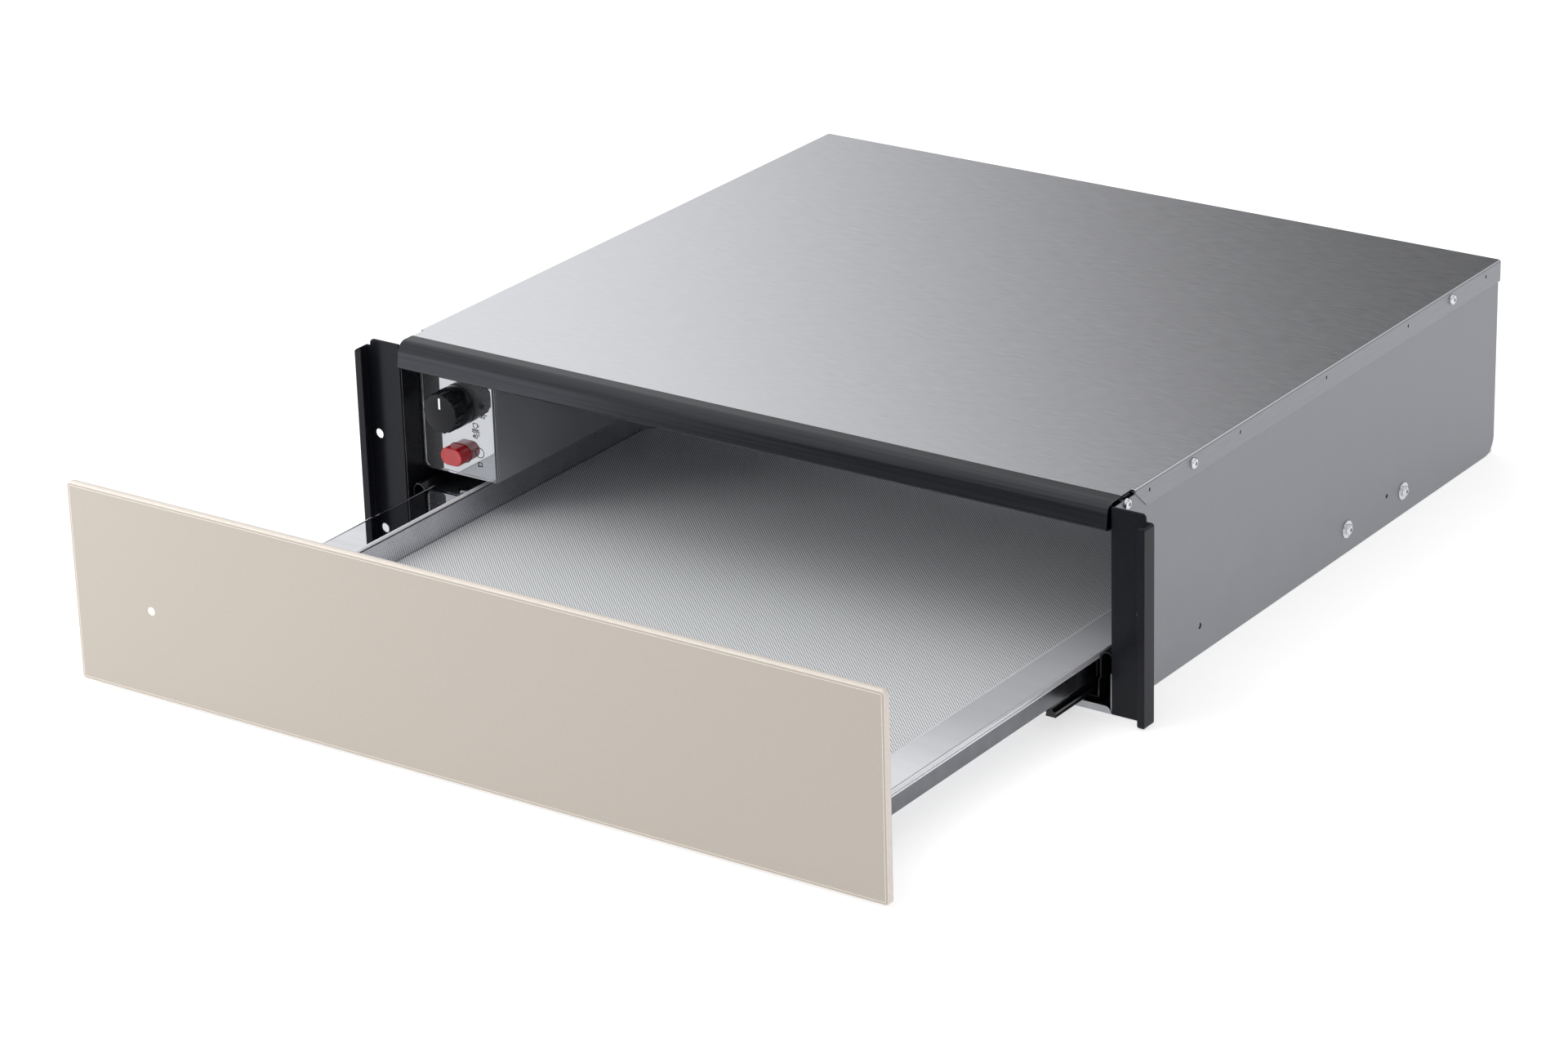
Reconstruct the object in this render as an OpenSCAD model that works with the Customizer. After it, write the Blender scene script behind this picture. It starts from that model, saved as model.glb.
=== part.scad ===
// Built-in warming drawer of the 60 cm class, drawn with its drawer part-way out.
// X runs to the right, Y to the back and Z up. The origin is the middle of the underside.
// All lengths are in millimetres. Depths are measured from the plane of the mounting flanges.

/* [Chassis] */
// Width over the outside of the side panels
chassis_w = 539; // [500:1:560]
// Depth from the flange plane to the back of the side panels
chassis_d = 497; // [470:1:540]
// Height of the top face of the cover
chassis_h = 137; // [132:0.5:160]
// Thickness of the folded sheet
sheet_t = 0.8; // [0.6:0.05:1]
// How far the cover's lips hang down over the side panels
cover_lip_h = 15; // [10:0.5:20]
// Height of the side flanges of the bottom plate
base_flange_h = 26; // [22:0.5:30]
// Radius of the lower back corner of the side panels
heel_r = 12; // [6:0.5:20]

/* [Front trim] */
// Height of the trim across the top of the opening
trim_h = 17.7; // [15:0.1:20]
// How far the trim bulges in front of the flange plane
trim_proud = 3.7; // [2:0.1:5]
// Wall of the hollow trim
trim_wall = 1.6; // [1:0.1:2.2]

/* [Mounting flanges] */
// How far each flange reaches out beside the chassis
flange_reach = 28.1; // [22:0.1:34]
// How far the top of the flange plate lies below the cover
flange_drop = 2.4; // [1:0.1:12]
// How far the top of the hooked edge lies below the cover
hook_drop = 7.2; // [3:0.1:20]
// How far the hooked edge stands in front of the flange plane
hook_depth = 10; // [6:0.5:12]
// Width of the strip that closes the hook
hook_strip_w = 5.1; // [3:0.1:6]
// Thickness of the flange
flange_t = 1.5; // [1:0.1:1.5]
// Radius of the fixing hole in each flange
flange_hole_r = 3.4; // [2:0.1:4]
// Height of the fixing holes
flange_hole_z = 68.8; // [60:0.1:76]

/* [Drawer front] */
// How far the glass front reaches beyond the chassis on each side
panel_overhang = 28.5; // [26:0.5:34]
// Height of the glass front
panel_h = 131; // [125:0.5:135]
// Height of the glass front's lower edge above the ground
panel_lift = 2.2; // [1:0.1:4]
// Thickness of the glass
glass_t = 5; // [4:0.5:6]
// Diameter of the light guide that shows the lamp through the glass
lens_d = 6; // [4:0.5:8]

/* [Drawer] */
// How far the drawer is out
opening_shown = 269; // [100:1:320]
// Height of the polished ledges beside the tray
ledge_z = 35.3; // [34:0.1:38]
// Width of each ledge from the tray wall to its outer lip
ledge_w = 29.7; // [28:0.1:30]
// Height of the outer lip
ledge_lip_h = 14.1; // [12:0.1:14.5]
// Height of the tray's underside above the ground
tray_lift = 13; // [12.5:0.1:16]
// Radius of the tray's corners, seen from above
tray_corner_r = 14; // [8:0.5:30]
// Thickness of the anti-slip mat
mat_t = 1.4; // [1:0.1:2]

/* [Slides] */
// Wall of the rail fixed to the chassis
cabinet_rail_t = 1.2; // [1:0.05:1.2]
// Wall of the rail under the ledge
drawer_rail_t = 1; // [0.8:0.05:1]
// Length of the middle rail
beam_len = 380; // [340:1:390]
// How far the middle rail stands out in front of the flange plane
beam_reach = 38; // [10:1:60]
// Diameter of the lower balls
lower_ball_d = 3.2; // [3:0.05:3.3]
// Diameter of the upper balls
upper_ball_d = 2.4; // [2.2:0.05:2.5]
// Balls along each side of a cage
balls_per_side = 6; // [4:1:8]

/* [Control housing] */
// Width of the housing beside the cavity
housing_w = 59.6; // [58:0.1:64]
// Height of its underside above the slide
housing_lift = 5.5; // [4.5:0.5:8.5]
// Distance of its front behind the flange plane
housing_setback = 20; // [19:0.5:24]
// Diameter of the temperature knob
knob_d = 27.6; // [22:0.1:30]
// Depth of the knob
knob_depth = 17.9; // [12:0.1:18.5]
// Length of the power button
button_w = 18; // [14:0.5:19]
// Height of the power button
button_h = 12; // [9:0.5:13]
// How far the power button stands out
button_proud = 9.9; // [5:0.1:11]

/* [Fan and heater] */
// Clearance between the fan's scroll and the floor and roof of the housing
fan_clear = 7.5; // [5.5:0.5:13.5]
// Blades on the fan wheel
wheel_blades = 22; // [12:1:28]
// Diameter of the heating tube
heater_d = 6.4; // [5:0.1:8]
// Long runs of the heating tube
heater_runs = 4; // [4:2:4]

/* [Hidden] */
$fn = 48;

// Colours of the real finishes
steel = "#b9bbbf";
zinc = "#9a9da3";
anthracite = "#4a4b4f";
black = "#25272b";
mirror_steel = "#d4d6da";
glass_beige = "#cdc3b9";
mat_grey = "#b4b5b8";
face_white = "#dcdee2";
button_red = "#b01f28";
brass = "#b9964e";
wool = "#d9c98a";
copper = "#a8683c";

// Clearances: between fixed pieces, between moving pieces, round a shaft and past a cut
fit_gap = 0.1;
run_gap = 0.35;
shaft_gap = 0.06;
over = 1;

// Slots of every grille
slot_w = 3;
slot_pitch = 7;

// Screws
screw_r = 1.6;
screw_hole_r = 1.75;
screw_head_r = 3.6;
screw_head_h = 2.3;
screw_rim_share = 0.6;
screw_crown_share = 0.7;
screw_socket_r = 1.5;
screw_socket_depth = 1.2;
screw_stub = 1.8;
screw_short = 4;
screw_mid = 6;
screw_long = 12;
washer_r = 6;
washer_t = 1;

// Places worked out from the driving sizes
front_y = -chassis_d / 2;
side_out = chassis_w / 2;
side_in = side_out - sheet_t;
cover_seat = 0.55;
side_top = chassis_h - sheet_t - cover_seat;
plate_half = side_in - fit_gap;
back_in = chassis_d - 2 * sheet_t - 2 * fit_gap;

// Cover
cover_side_gap = 0.2;
cover_overhang = sheet_t + cover_side_gap;
cover_inner_r = 1;
cover_bend_r = cover_inner_r + sheet_t;
cover_setback = 13.4;
lip_setback = 25.7;
cover_half = side_out + cover_overhang;
cover_back = chassis_d + cover_overhang;
lip_screw_drop = 6.2;
lip_screw_front = 93;
lip_screw_behind = 69;
lip_screws = [lip_screw_front, chassis_d - lip_screw_behind];
dimple_drop = 5.5;
dimple_front = 42;
dimple_behind = 20;
dimple_count = 5;
dimple_hole_r = 1.3;

// Side panels
top_flange_w = 14;
back_flange_w = 13;
front_corner_drop = 2.1;
small_hole_y = 345;
small_hole_z = 20.5;
small_hole_r = 1.5;
peg_hole_y = 104;
peg_hole_z = 19;
peg_hole_r = 2;

// Bottom plate
front_lip_h = 4.7;
bead_w = 14;
bead_h = 2;
bead_x = 110;
bead_margin = 60;
vent_len = 34;
vent_count = 7;
vent_start = 70;

// Front trim
trim_gap = 2;
trim_half = side_out - trim_gap;
trim_crown = 0.2;
trim_top = chassis_h + trim_crown;
trim_back = cover_setback - 2 * fit_gap;
trim_top_r = 8;
trim_foot_r = 1.8;
trim_lean = 1.3;
trim_tongue = 10.6;
trim_tongue_h = 12;
trim_screw_y = 16.6;
trim_screw_drop = 6;
trim_screw_z = chassis_h - trim_screw_drop;
trim_bore_depth = 20;

// Mounting flanges
flange_lap = 0.6;
flange_h = chassis_h - flange_drop;
hook_h = chassis_h - hook_drop;
flange_edge = side_out - flange_lap;
flange_out = side_out + flange_reach;
flange_corner_r = 3;
hook_corner_r = 2;
flange_hole_inset = 8.4;
leg_reach = 15;
leg_z0 = 4;
leg_drop = 17;
leg_z1 = chassis_h - leg_drop;
leg_screw_y = 9;
leg_screw_shares = [0.33, 0.57, 0.8];
leg_screws = [for (share = leg_screw_shares) chassis_h * share];

// Drawer front
panel_w = chassis_w + 2 * panel_overhang;
backing_t = 1;
backing_inset = 8;
backing_bottom = 4;
backing_fold = 6;
panel_gap = 1.4;
panel_corner_r = 3;
panel_bevel = 0.8;
lens_shift = 2.1;
lens_rise = 1.8;
lens_flange = 2;
lens_flange_w = 1.5;
panel_back = -hook_depth - panel_gap;
glass_back = panel_back - backing_t;
glass_front = glass_back - glass_t;

// Tray
ledge_side_gap = 12.8;
ledge_half = side_out - ledge_side_gap;
tray_half = ledge_half - ledge_w;
floor_under = tray_lift;
floor_top = floor_under + sheet_t;
ledge_under = ledge_z - sheet_t;
front_ledge = 17.3;
back_ledge = 7;
tray_behind = 14;
tray_front = panel_back + front_ledge;
tray_back = chassis_d - tray_behind;
upstand_h = 26;
upstand_inset = 8;
upstand_half = tray_half - upstand_inset;
mat_gap = 0.4;

// Slides, seen from the front of the right-hand one
lower_ball_z = 10.6;
upper_ball_drop = 6.3;
upper_ball_z = ledge_under - upper_ball_drop;
rail_front = 5;
rail_behind = 19;
rail_back = chassis_d - rail_behind;
rail_rise = 2.2;
rail_top = ledge_z + rail_rise;
rail_wall_out = plate_half - sheet_t - 2 * fit_gap;
rail_chamfer = 3;
rail_foot_z = 9;
rail_hole_depth = 4;
riser_gap = 0.8;
riser_x = ledge_half + riser_gap;
jog_gap = 0.7;
jog_z = ledge_z - ledge_lip_h - jog_gap;
jog_h = 2;
lower_half = 3.6;
lower_flange_h = 4;
upper_half = 3;
upper_flange_h = 5.6;
web_half = 1.2;
lower_ball_r = lower_ball_d / 2;
upper_ball_r = upper_ball_d / 2;
groove_depth = 0.3;
lower_ball_x = lower_half - groove_depth + lower_ball_r;
upper_ball_x = upper_half - groove_depth + upper_ball_r;
lower_track = lower_ball_x + lower_ball_r + fit_gap;
upper_track = upper_ball_x + upper_ball_r + fit_gap;
beam_gap = 0.2;
beam_x = ledge_half - sheet_t - beam_gap - drawer_rail_t - upper_track;
channel_floor_z = 7;
channel_lip_rise = 3.6;
channel_lip_z = lower_ball_z + channel_lip_rise;
channel_lip_w = 3.2;
drawer_lip_drop = 12;
drawer_lip_w = 2.6;
drawer_rail_start = 7;
drawer_rail_behind = 9;
drawer_rail_end = tray_back - drawer_rail_behind;
drawer_rail_top = ledge_under - fit_gap;
slide_screw_z = 16.7;
slide_screw_behind = [206, 130];
slide_screws = [for (b = slide_screw_behind) chassis_d - b];
ball_pitch = 19;
cage_t = 0.6;
cage_margin = 6;
cage_gap = 0.5;
cage_edge = 0.8;
cage_len = (balls_per_side - 1) * ball_pitch + 2 * cage_margin;
lower_cage_start = 112;
upper_cage_start = 4;

// Control housing
housing_x0 = -plate_half + fit_gap;
housing_x1 = -plate_half + housing_w;
housing_z = rail_top + housing_lift;
housing_drop = 19;
housing_top = chassis_h - housing_drop;
housing_h = housing_top - housing_z;
housing_behind = 20;
housing_back = chassis_d - housing_behind;
housing_return = 12;
bezel_t = 1.5;
face_t = 1.4;
face_corner_r = 5;
face_back = housing_setback + face_t;
bezel_back = face_back + bezel_t;
face_rim_w = 1.4;
face_rim_h = 0.6;
face_edge = 0.3;
control_inset = 30.2;
knob_height_share = 49.3 / 75;
knob_x = housing_x0 + control_inset;
knob_z = housing_z + housing_h * knob_height_share;
knob_front = housing_setback - face_rim_h - run_gap - knob_depth;
knob_flutes = 18;
knob_flute_r = 1.1;
knob_fluted = 9.4;
knob_step = 0.2;
knob_collar_r = knob_d / 2 + knob_step;
knob_rest = 9;
flute_centre_share = 0.4;
press_gap = 0.02;
pointer_inset = 2.7;
pointer_w = 1.5;
pointer_h = 7.6;
pointer_t = 0.3;
shaft_r = 3;
shaft_bore_depth = 11;
shaft_end_gap = 1;
bushing_r = 5;
bushing_recess = 0.4;
thermostat = [30, 22, 24];
thermostat_wall = 4;
thermostat_y = bezel_back + fit_gap;
button_height_share = 15.9 / 75;
button_x = knob_x;
button_z = housing_z + housing_h * button_height_share;
lens_x = button_x + lens_shift;
lens_z = button_z + lens_rise;
button_front = housing_setback - button_proud;
button_stem = 4.6;
button_back = bezel_back + button_stem;
button_travel = 3;
button_dome = 1;
switch_case = [24, 26, 17];
housing_screw_inset = 25;
housing_screw_x = housing_x0 + housing_screw_inset;
housing_screw_margins = [8, 50];
housing_screw_y = [housing_setback + housing_screw_margins[0], housing_back - housing_screw_margins[1]];

// Fan, duct and heater, all inside the control housing
fan_z = housing_z + housing_h / 2;
scroll_gap = 3;
scroll_t = 1;
wheel_r = housing_h / 2 - fan_clear - scroll_gap - scroll_t;
scroll_w = 21;
scroll_wall_gap = 0.3;
scroll_r = wheel_r + scroll_gap;
scroll_x1 = housing_x1 - sheet_t - scroll_wall_gap;
scroll_x0 = scroll_x1 - scroll_w;
scroll_outlet = 60;
outlet_h = 24;
inlet_rim = 8;
inlet_r = wheel_r - inlet_rim;
wheel_w = 14;
wheel_gap = 3;
wheel_x = scroll_x0 + scroll_t + wheel_gap;
wheel_t = 0.8;
blade_depth = 5;
blade_sweep = 2;
blade_margin = 0.3;
hub_r = 5;
motor_shaft_r = 2;
motor_gap = 4;
stator = [16, 44, 40];
stator_x = scroll_x0 - fit_gap - motor_gap;
stud_r = 2.5;
stud_inset = 5;
coil_r = 11;
coil_len = 15;
coil_drop = 12;
duct_gap = 0.2;
duct_len = 124;
duct_behind = 52.8;
duct_y1 = housing_back - duct_behind;
duct_y0 = duct_y1 - duct_len;
fan_y = duct_y0 - duct_gap - scroll_outlet;
duct_inset = 6;
duct_x0 = housing_x0 + duct_inset;
duct_x1 = scroll_x1;
duct_low = fan_z - scroll_r;
duct_top = fan_z + scroll_r + scroll_t;
heater_margin = 3;
heater_bend_r = ((duct_top - duct_low) / 2 - sheet_t - heater_margin - heater_d / 2) / (heater_runs - 1);
heater_lead = 11;
heater_start = 14;
heater_y0 = duct_y0 + heater_start;
heater_run = 84;
heater_x = (duct_x0 + duct_x1) / 2;
heater_clip_t = 2;
grille_rows = 7;
grille_start = 44;
grille_y0 = duct_y0 + grille_start;
grille_len = 66;
inlet_slots = 5;
cutout_r = 8;
cutout_h = 6;
cutout_cap_h = 2;
cutout_rise = 14;
terminals = 3;
terminal_pitch = 10;
terminal_w = 16;
terminal_h = 14;
terminal_start = 14;
terminal_y = duct_y1 + terminal_start;
terminal_well_r = 2;
terminal_wire_r = 1.6;
harness_r = 2.4;

// Cable inlet at the back
gland_inset = 60;
gland_x = -side_out + gland_inset;
gland_z = 80;
gland_bore_r = 3.75;
gland_body_r = 8;
gland_flange_r = 12;
gland_flange_t = 3;
gland_out = 6;
gland_in = 8;
panel_start = 10;
back_vent_x_share = 1 / 3;
back_vent_len = 40;
back_vents = 5;
back_screw_rise = 4;
back_screw_shares = [0.54, 0.8];
back_screw_z = concat([base_flange_h + back_screw_rise],
    [for (share = back_screw_shares) chassis_h * share]);
back_screw_inset = 7;

// Push latch, placed from its striker's pin when the drawer is shut
latch_behind = 85;
latch_y = chassis_d - latch_behind;
latch_clear = 1.6;
latch_top = floor_under - latch_clear;
latch_wall = 3;
pin_r = 2;
pin_gap = 2;
pin_low = 3.6;
pivot_dx = 12;
pivot_dy = 18;
pivot_r = 2;
hook_t = 4;
hook_z = 4.2;
hook_eye_r = 6;
claw_w = 4.4;
claw_gap = 3.5;
claw_past = 1.6;
release_angle = 15;
well_z = hook_z - run_gap;
well_side = 8;
well_right = 26;
well_behind = 3;
latch_side = well_side + 2 * latch_wall;
latch_right = well_right + latch_wall;
claw_front = pin_r + claw_gap + claw_w;
latch_front = latch_y - claw_front - 2 * latch_wall;
latch_back = latch_y + pivot_dy + hook_eye_r + well_behind + latch_wall;
striker_t = 1;
striker_w = 22;
striker_d = 20;

// Panel brackets
bracket_t = 1.5;
bracket_w = 9;
bracket_rise = 4.7;
bracket_reach = 70;
bracket_gap = 1;
panel_screw_shares = [0.25, 0.8];

// Ceiling of the warm space
ceiling_gap = 0.2;
ceiling_z = housing_top + ceiling_gap;
ceiling_up = 7.5;
wool_gap = 0.3;
wool_front_gap = 1;

// Outline of a folded sheet that follows a path and lies on the path's left
function unit(v) = v / norm(v);
function left_of(v) = [-v.y, v.x];
function run_in(p, i) = unit(i > 0 ? p[i] - p[i - 1] : p[1] - p[0]);
function run_out(p, i) = unit(i < len(p) - 1 ? p[i + 1] - p[i] : p[i] - p[i - 1]);
function mitre(p, i, t) =
    let (a = left_of(run_in(p, i)), m = unit(a + left_of(run_out(p, i))))
    p[i] + m * t / (m * a);
function folded(p, t) = concat(p, [for (i = [len(p) - 1 : -1 : 0]) mitre(p, i, t)]);

// Places along a row
function spread(a, b, n) = [for (i = [0 : n - 1]) a + (b - a) * i / (n - 1)];

// Shared shapes
module from_front() translate([0, front_y, 0]) children();
module from_drawer() translate([0, front_y - opening_shown, 0]) children();
module on_left() mirror([1, 0, 0]) children();
module pair() {
    children();
    mirror([1, 0, 0]) children();
}
module block(lo, hi) translate(lo) cube(hi - lo);
module along_y(y0, y1) translate([0, y1, 0]) rotate([90, 0, 0]) linear_extrude(y1 - y0) children();
module along_x(x0, x1) translate([x0, 0, 0]) rotate([90, 0, 90]) linear_extrude(x1 - x0) children();
module along_z(z0, z1) translate([0, 0, z0]) linear_extrude(z1 - z0) children();
module rounded(lo, hi, r) {
    translate([lo.x + r, lo.y]) square([hi.x - lo.x - 2 * r, hi.y - lo.y]);
    translate([lo.x, lo.y + r]) square([hi.x - lo.x, hi.y - lo.y - 2 * r]);
    for (x = [lo.x + r, hi.x - r], y = [lo.y + r, hi.y - r]) translate([x, y]) circle(r);
}
module oblong(w, h) {
    square([w - h, h], center = true);
    for (s = [-1, 1]) translate([s * (w - h) / 2, 0]) circle(h / 2);
}
module rod_x(x0, x1, y, z, r) translate([x0, y, z]) rotate([0, 90, 0]) cylinder(h = x1 - x0, r = r);
module rod_y(y0, y1, x, z, r) translate([x, y0, z]) rotate([-90, 0, 0]) cylinder(h = y1 - y0, r = r);

// Pan-head screw with a round socket, its head's underside at the origin and its tip towards -Z
module screw(length) {
    difference() {
        union() {
            cylinder(h = screw_head_h * screw_rim_share, r = screw_head_r);
            translate([0, 0, screw_head_h * screw_rim_share])
                cylinder(h = screw_head_h * (1 - screw_rim_share), r1 = screw_head_r,
                    r2 = screw_head_r * screw_crown_share);
            translate([0, 0, -length]) cylinder(h = length + screw_head_h, r = screw_r);
        }
        translate([0, 0, screw_head_h - screw_socket_depth])
            cylinder(h = screw_socket_depth + over, r = screw_socket_r);
    }
}
module screw_from_right(x, y, z, length) translate([x, y, z]) rotate([0, 90, 0]) screw(length);

// Bottom plate: folded up at the sides and back, with a low lip in front, long beads and air slots
module bottom_bead(width, z1) {
    along_z(0, z1) translate([bead_x, chassis_d / 2]) rotate([0, 0, 90])
        oblong(chassis_d - 2 * bead_margin, width);
}
module front_lip() {
    square_half = plate_half - front_lip_h;
    translate([-square_half, 0]) square([2 * square_half, front_lip_h]);
    intersection() {
        for (s = [-1, 1]) translate([s * square_half, 0]) circle(front_lip_h);
        translate([-plate_half, 0]) square([2 * plate_half, front_lip_h]);
    }
}
module bottom_plate() color(zinc) from_front() difference() {
    union() {
        block([-plate_half, 0, 0], [plate_half, back_in, sheet_t]);
        pair() block([plate_half - sheet_t, sheet_t, 0], [plate_half, back_in, base_flange_h]);
        block([-plate_half, back_in - sheet_t, 0], [plate_half, back_in, base_flange_h]);
        along_y(0, sheet_t) front_lip();
        pair() bottom_bead(bead_w, bead_h + sheet_t);
    }
    pair() translate([0, 0, -over]) bottom_bead(bead_w - 2 * sheet_t, bead_h + over);
    for (i = [0 : vent_count - 1])
        along_z(-over, sheet_t + over)
            translate([(housing_x0 + housing_x1) / 2, vent_start + i * slot_pitch]) oblong(vent_len, slot_w);
    pair() for (y = slide_screws) rod_x(rail_wall_out, side_out, y, slide_screw_z, screw_hole_r);
}

// Side panels
module side_outline() {
    polygon([
        [flange_t + fit_gap, 0], [chassis_d - heel_r, 0], [chassis_d - heel_r, heel_r],
        [chassis_d, heel_r], [chassis_d, side_top], [lip_setback, side_top],
        [lip_setback, side_top - front_corner_drop], [flange_t + fit_gap, side_top - front_corner_drop]
    ]);
    translate([chassis_d - heel_r, heel_r]) circle(heel_r);
}
module right_side() from_front() difference() {
    union() {
        along_x(side_in, side_out) side_outline();
        block([side_out - top_flange_w, lip_setback, side_top - sheet_t], [side_out, back_in, side_top]);
        block([side_out - back_flange_w, chassis_d - sheet_t, heel_r], [side_out, chassis_d, side_top]);
    }
    for (y = slide_screws) rod_x(side_in - over, side_out + over, y, slide_screw_z, screw_hole_r);
    for (y = lip_screws)
        rod_x(side_in - over, side_out + over, y, chassis_h - lip_screw_drop, screw_hole_r);
    for (z = leg_screws) rod_x(side_in - over, side_out + over, leg_screw_y, z, screw_hole_r);
    rod_x(side_in - over, side_out + over, trim_screw_y, trim_screw_z, screw_hole_r);
    rod_x(side_in - over, side_out + over, small_hole_y, small_hole_z, small_hole_r);
    rod_x(side_in - over, side_out + over, peg_hole_y, peg_hole_z, peg_hole_r);
    for (z = back_screw_z)
        rod_y(chassis_d - sheet_t - over, chassis_d + over, side_out - back_screw_inset, z, screw_hole_r);
}
module right_side_panel() color(steel) right_side();
module left_side_panel() color(steel) on_left() right_side();

// Back panel with air slots and the hole for the cable gland
module back_panel() color(zinc) from_front() difference() {
    block([-plate_half, back_in + fit_gap, panel_start],
        [plate_half, back_in + fit_gap + sheet_t, side_top]);
    rod_y(back_in, chassis_d, gland_x, gland_z, gland_body_r + fit_gap);
    for (i = [0 : back_vents - 1], s = [-1, 1])
        along_y(back_in, chassis_d)
            translate([s * side_out * back_vent_x_share, gland_z + (i - (back_vents - 1) / 2) * slot_pitch])
                oblong(back_vent_len, slot_w);
    pair() for (z = back_screw_z) rod_y(back_in, chassis_d, side_out - back_screw_inset, z, screw_hole_r);
}

// Top cover: one sheet bent down over both sides and the back
module cover_section() {
    low = chassis_h - cover_lip_h;
    difference() {
        rounded([-cover_half, low - cover_bend_r * 2], [cover_half, chassis_h], cover_bend_r);
        rounded([-cover_half + sheet_t, low - cover_bend_r * 3],
            [cover_half - sheet_t, chassis_h - sheet_t], cover_inner_r);
        translate([-cover_half - over, low - cover_bend_r * 3])
            square([2 * cover_half + 2 * over, cover_bend_r * 3]);
    }
}
module top_cover() color(steel) from_front() difference() {
    union() {
        along_y(lip_setback, cover_back) cover_section();
        block([-trim_half, cover_setback, chassis_h - sheet_t], [trim_half, lip_setback + over, chassis_h]);
        block([sheet_t - cover_half, cover_back - sheet_t, chassis_h - cover_lip_h],
            [cover_half - sheet_t, cover_back, chassis_h - sheet_t / 2]);
    }
    // Slanted front ends of the side lips
    along_x(-cover_half - over, cover_half + over) polygon([
        [lip_setback - over, chassis_h - sheet_t - cover_bend_r],
        [lip_setback, chassis_h - sheet_t - cover_bend_r],
        [lip_setback + cover_lip_h, chassis_h - cover_lip_h - over],
        [lip_setback - over, chassis_h - cover_lip_h - over]
    ]);
    pair() for (y = lip_screws)
        rod_x(side_out, cover_half + over, y, chassis_h - lip_screw_drop, screw_hole_r);
    pair() for (y = spread(dimple_front, chassis_d - dimple_behind, dimple_count))
        rod_x(side_out, cover_half + over, y, chassis_h - dimple_drop, dimple_hole_r);
}

// Front trim: a hollow section with a round brow, and a tongue behind that takes the end screws
module trim_outline(inset) {
    top_c = [trim_top_r - trim_proud + trim_lean, trim_top - trim_top_r];
    foot_c = [trim_foot_r - trim_proud, trim_top - trim_h + trim_foot_r];
    translate(top_c) circle(trim_top_r - inset);
    translate(foot_c) circle(max(trim_foot_r - inset, fit_gap));
    polygon([
        [top_c.x, trim_top - inset], [trim_back - inset, trim_top - inset],
        [trim_back - inset, trim_top - trim_h + inset], [foot_c.x, trim_top - trim_h + inset],
        [foot_c.x - max(trim_foot_r - inset, fit_gap), foot_c.y], [top_c.x - trim_top_r + inset, top_c.y]
    ]);
}
module front_trim() color(anthracite) from_front() difference() {
    union() {
        along_x(-trim_half, trim_half) trim_outline(0);
        block([-trim_half, cover_setback - trim_wall, side_top - trim_tongue_h],
            [trim_half, cover_setback + trim_tongue, side_top - fit_gap]);
    }
    along_x(-trim_half - over, trim_half + over) trim_outline(trim_wall);
    pair() rod_x(trim_half - trim_bore_depth, trim_half + over, trim_screw_y, trim_screw_z,
        screw_r + fit_gap);
}

// Mounting flanges: a plate with a hooked outer edge and a leg screwed to the side panel
module right_flange() from_front() difference() {
    union() {
        intersection() {
            along_z(0, hook_h) polygon(folded([
                [flange_out - hook_strip_w, -hook_depth], [flange_out, -hook_depth],
                [flange_out, flange_t], [flange_edge, flange_t]
            ], flange_t));
            along_x(flange_edge - over, flange_out + over) {
                rounded([-hook_depth, 0], [flange_t + hook_corner_r, hook_h], hook_corner_r);
                square([flange_t + hook_corner_r, hook_h]);
            }
            along_y(-hook_depth - over, flange_t + over)
                rounded([flange_out - hook_strip_w, 0], [flange_out, hook_h], hook_corner_r);
        }
        block([flange_edge, 0, 0], [flange_out - hook_corner_r, flange_t, hook_h]);
        along_y(0, flange_t) {
            translate([flange_edge, 0])
                square([flange_out - hook_strip_w - flange_corner_r - flange_edge, flange_h]);
            translate([flange_edge, 0])
                square([flange_out - hook_strip_w - flange_edge, flange_h - flange_corner_r]);
            translate([flange_out - hook_strip_w - flange_corner_r, flange_h - flange_corner_r])
                circle(flange_corner_r);
        }
        block([side_out + fit_gap, 0, leg_z0], [side_out + fit_gap + flange_t, leg_reach, leg_z1]);
    }
    rod_y(-over, flange_t + over, flange_out - flange_hole_inset, flange_hole_z, flange_hole_r);
    for (z = leg_screws) rod_x(side_out, side_out + flange_t + over, leg_screw_y, z, screw_hole_r);
}
module right_mounting_flange() color(black) right_flange();
module left_mounting_flange() color(black) on_left() right_flange();

// Ceiling of the warm space, with the insulation above it
module inner_ceiling() color(steel) from_front()
    along_y(cover_setback + fit_gap, housing_back) polygon(folded([
        [-plate_half, ceiling_z + ceiling_up], [-plate_half, ceiling_z],
        [plate_half, ceiling_z], [plate_half, ceiling_z + ceiling_up]
    ], sheet_t));
module ceiling_insulation() color(wool) from_front() {
    half = plate_half - top_flange_w;
    block([-half, cover_setback + trim_tongue + wool_front_gap, ceiling_z + sheet_t + wool_gap],
        [half, housing_back, side_top - sheet_t - wool_gap]);
}

// Slides: the cabinet rail hooks over beside the ledge, then turns into the channel of the lower balls
module cabinet_rail() from_front() difference() {
    along_y(rail_front, rail_back) polygon(folded([
        [rail_wall_out, rail_foot_z], [rail_wall_out, rail_top - rail_chamfer],
        [rail_wall_out - rail_chamfer, rail_top], [riser_x + rail_chamfer, rail_top],
        [riser_x, rail_top - rail_chamfer], [riser_x, jog_z], [beam_x + lower_track, jog_z - jog_h],
        [beam_x + lower_track, channel_floor_z], [beam_x - lower_track, channel_floor_z],
        [beam_x - lower_track, channel_lip_z], [beam_x - lower_track + channel_lip_w, channel_lip_z]
    ], cabinet_rail_t));
    for (y = slide_screws)
        rod_x(rail_wall_out - rail_hole_depth, rail_wall_out + over, y, slide_screw_z, screw_hole_r);
}
module right_cabinet_rail() color(black) cabinet_rail();
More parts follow.
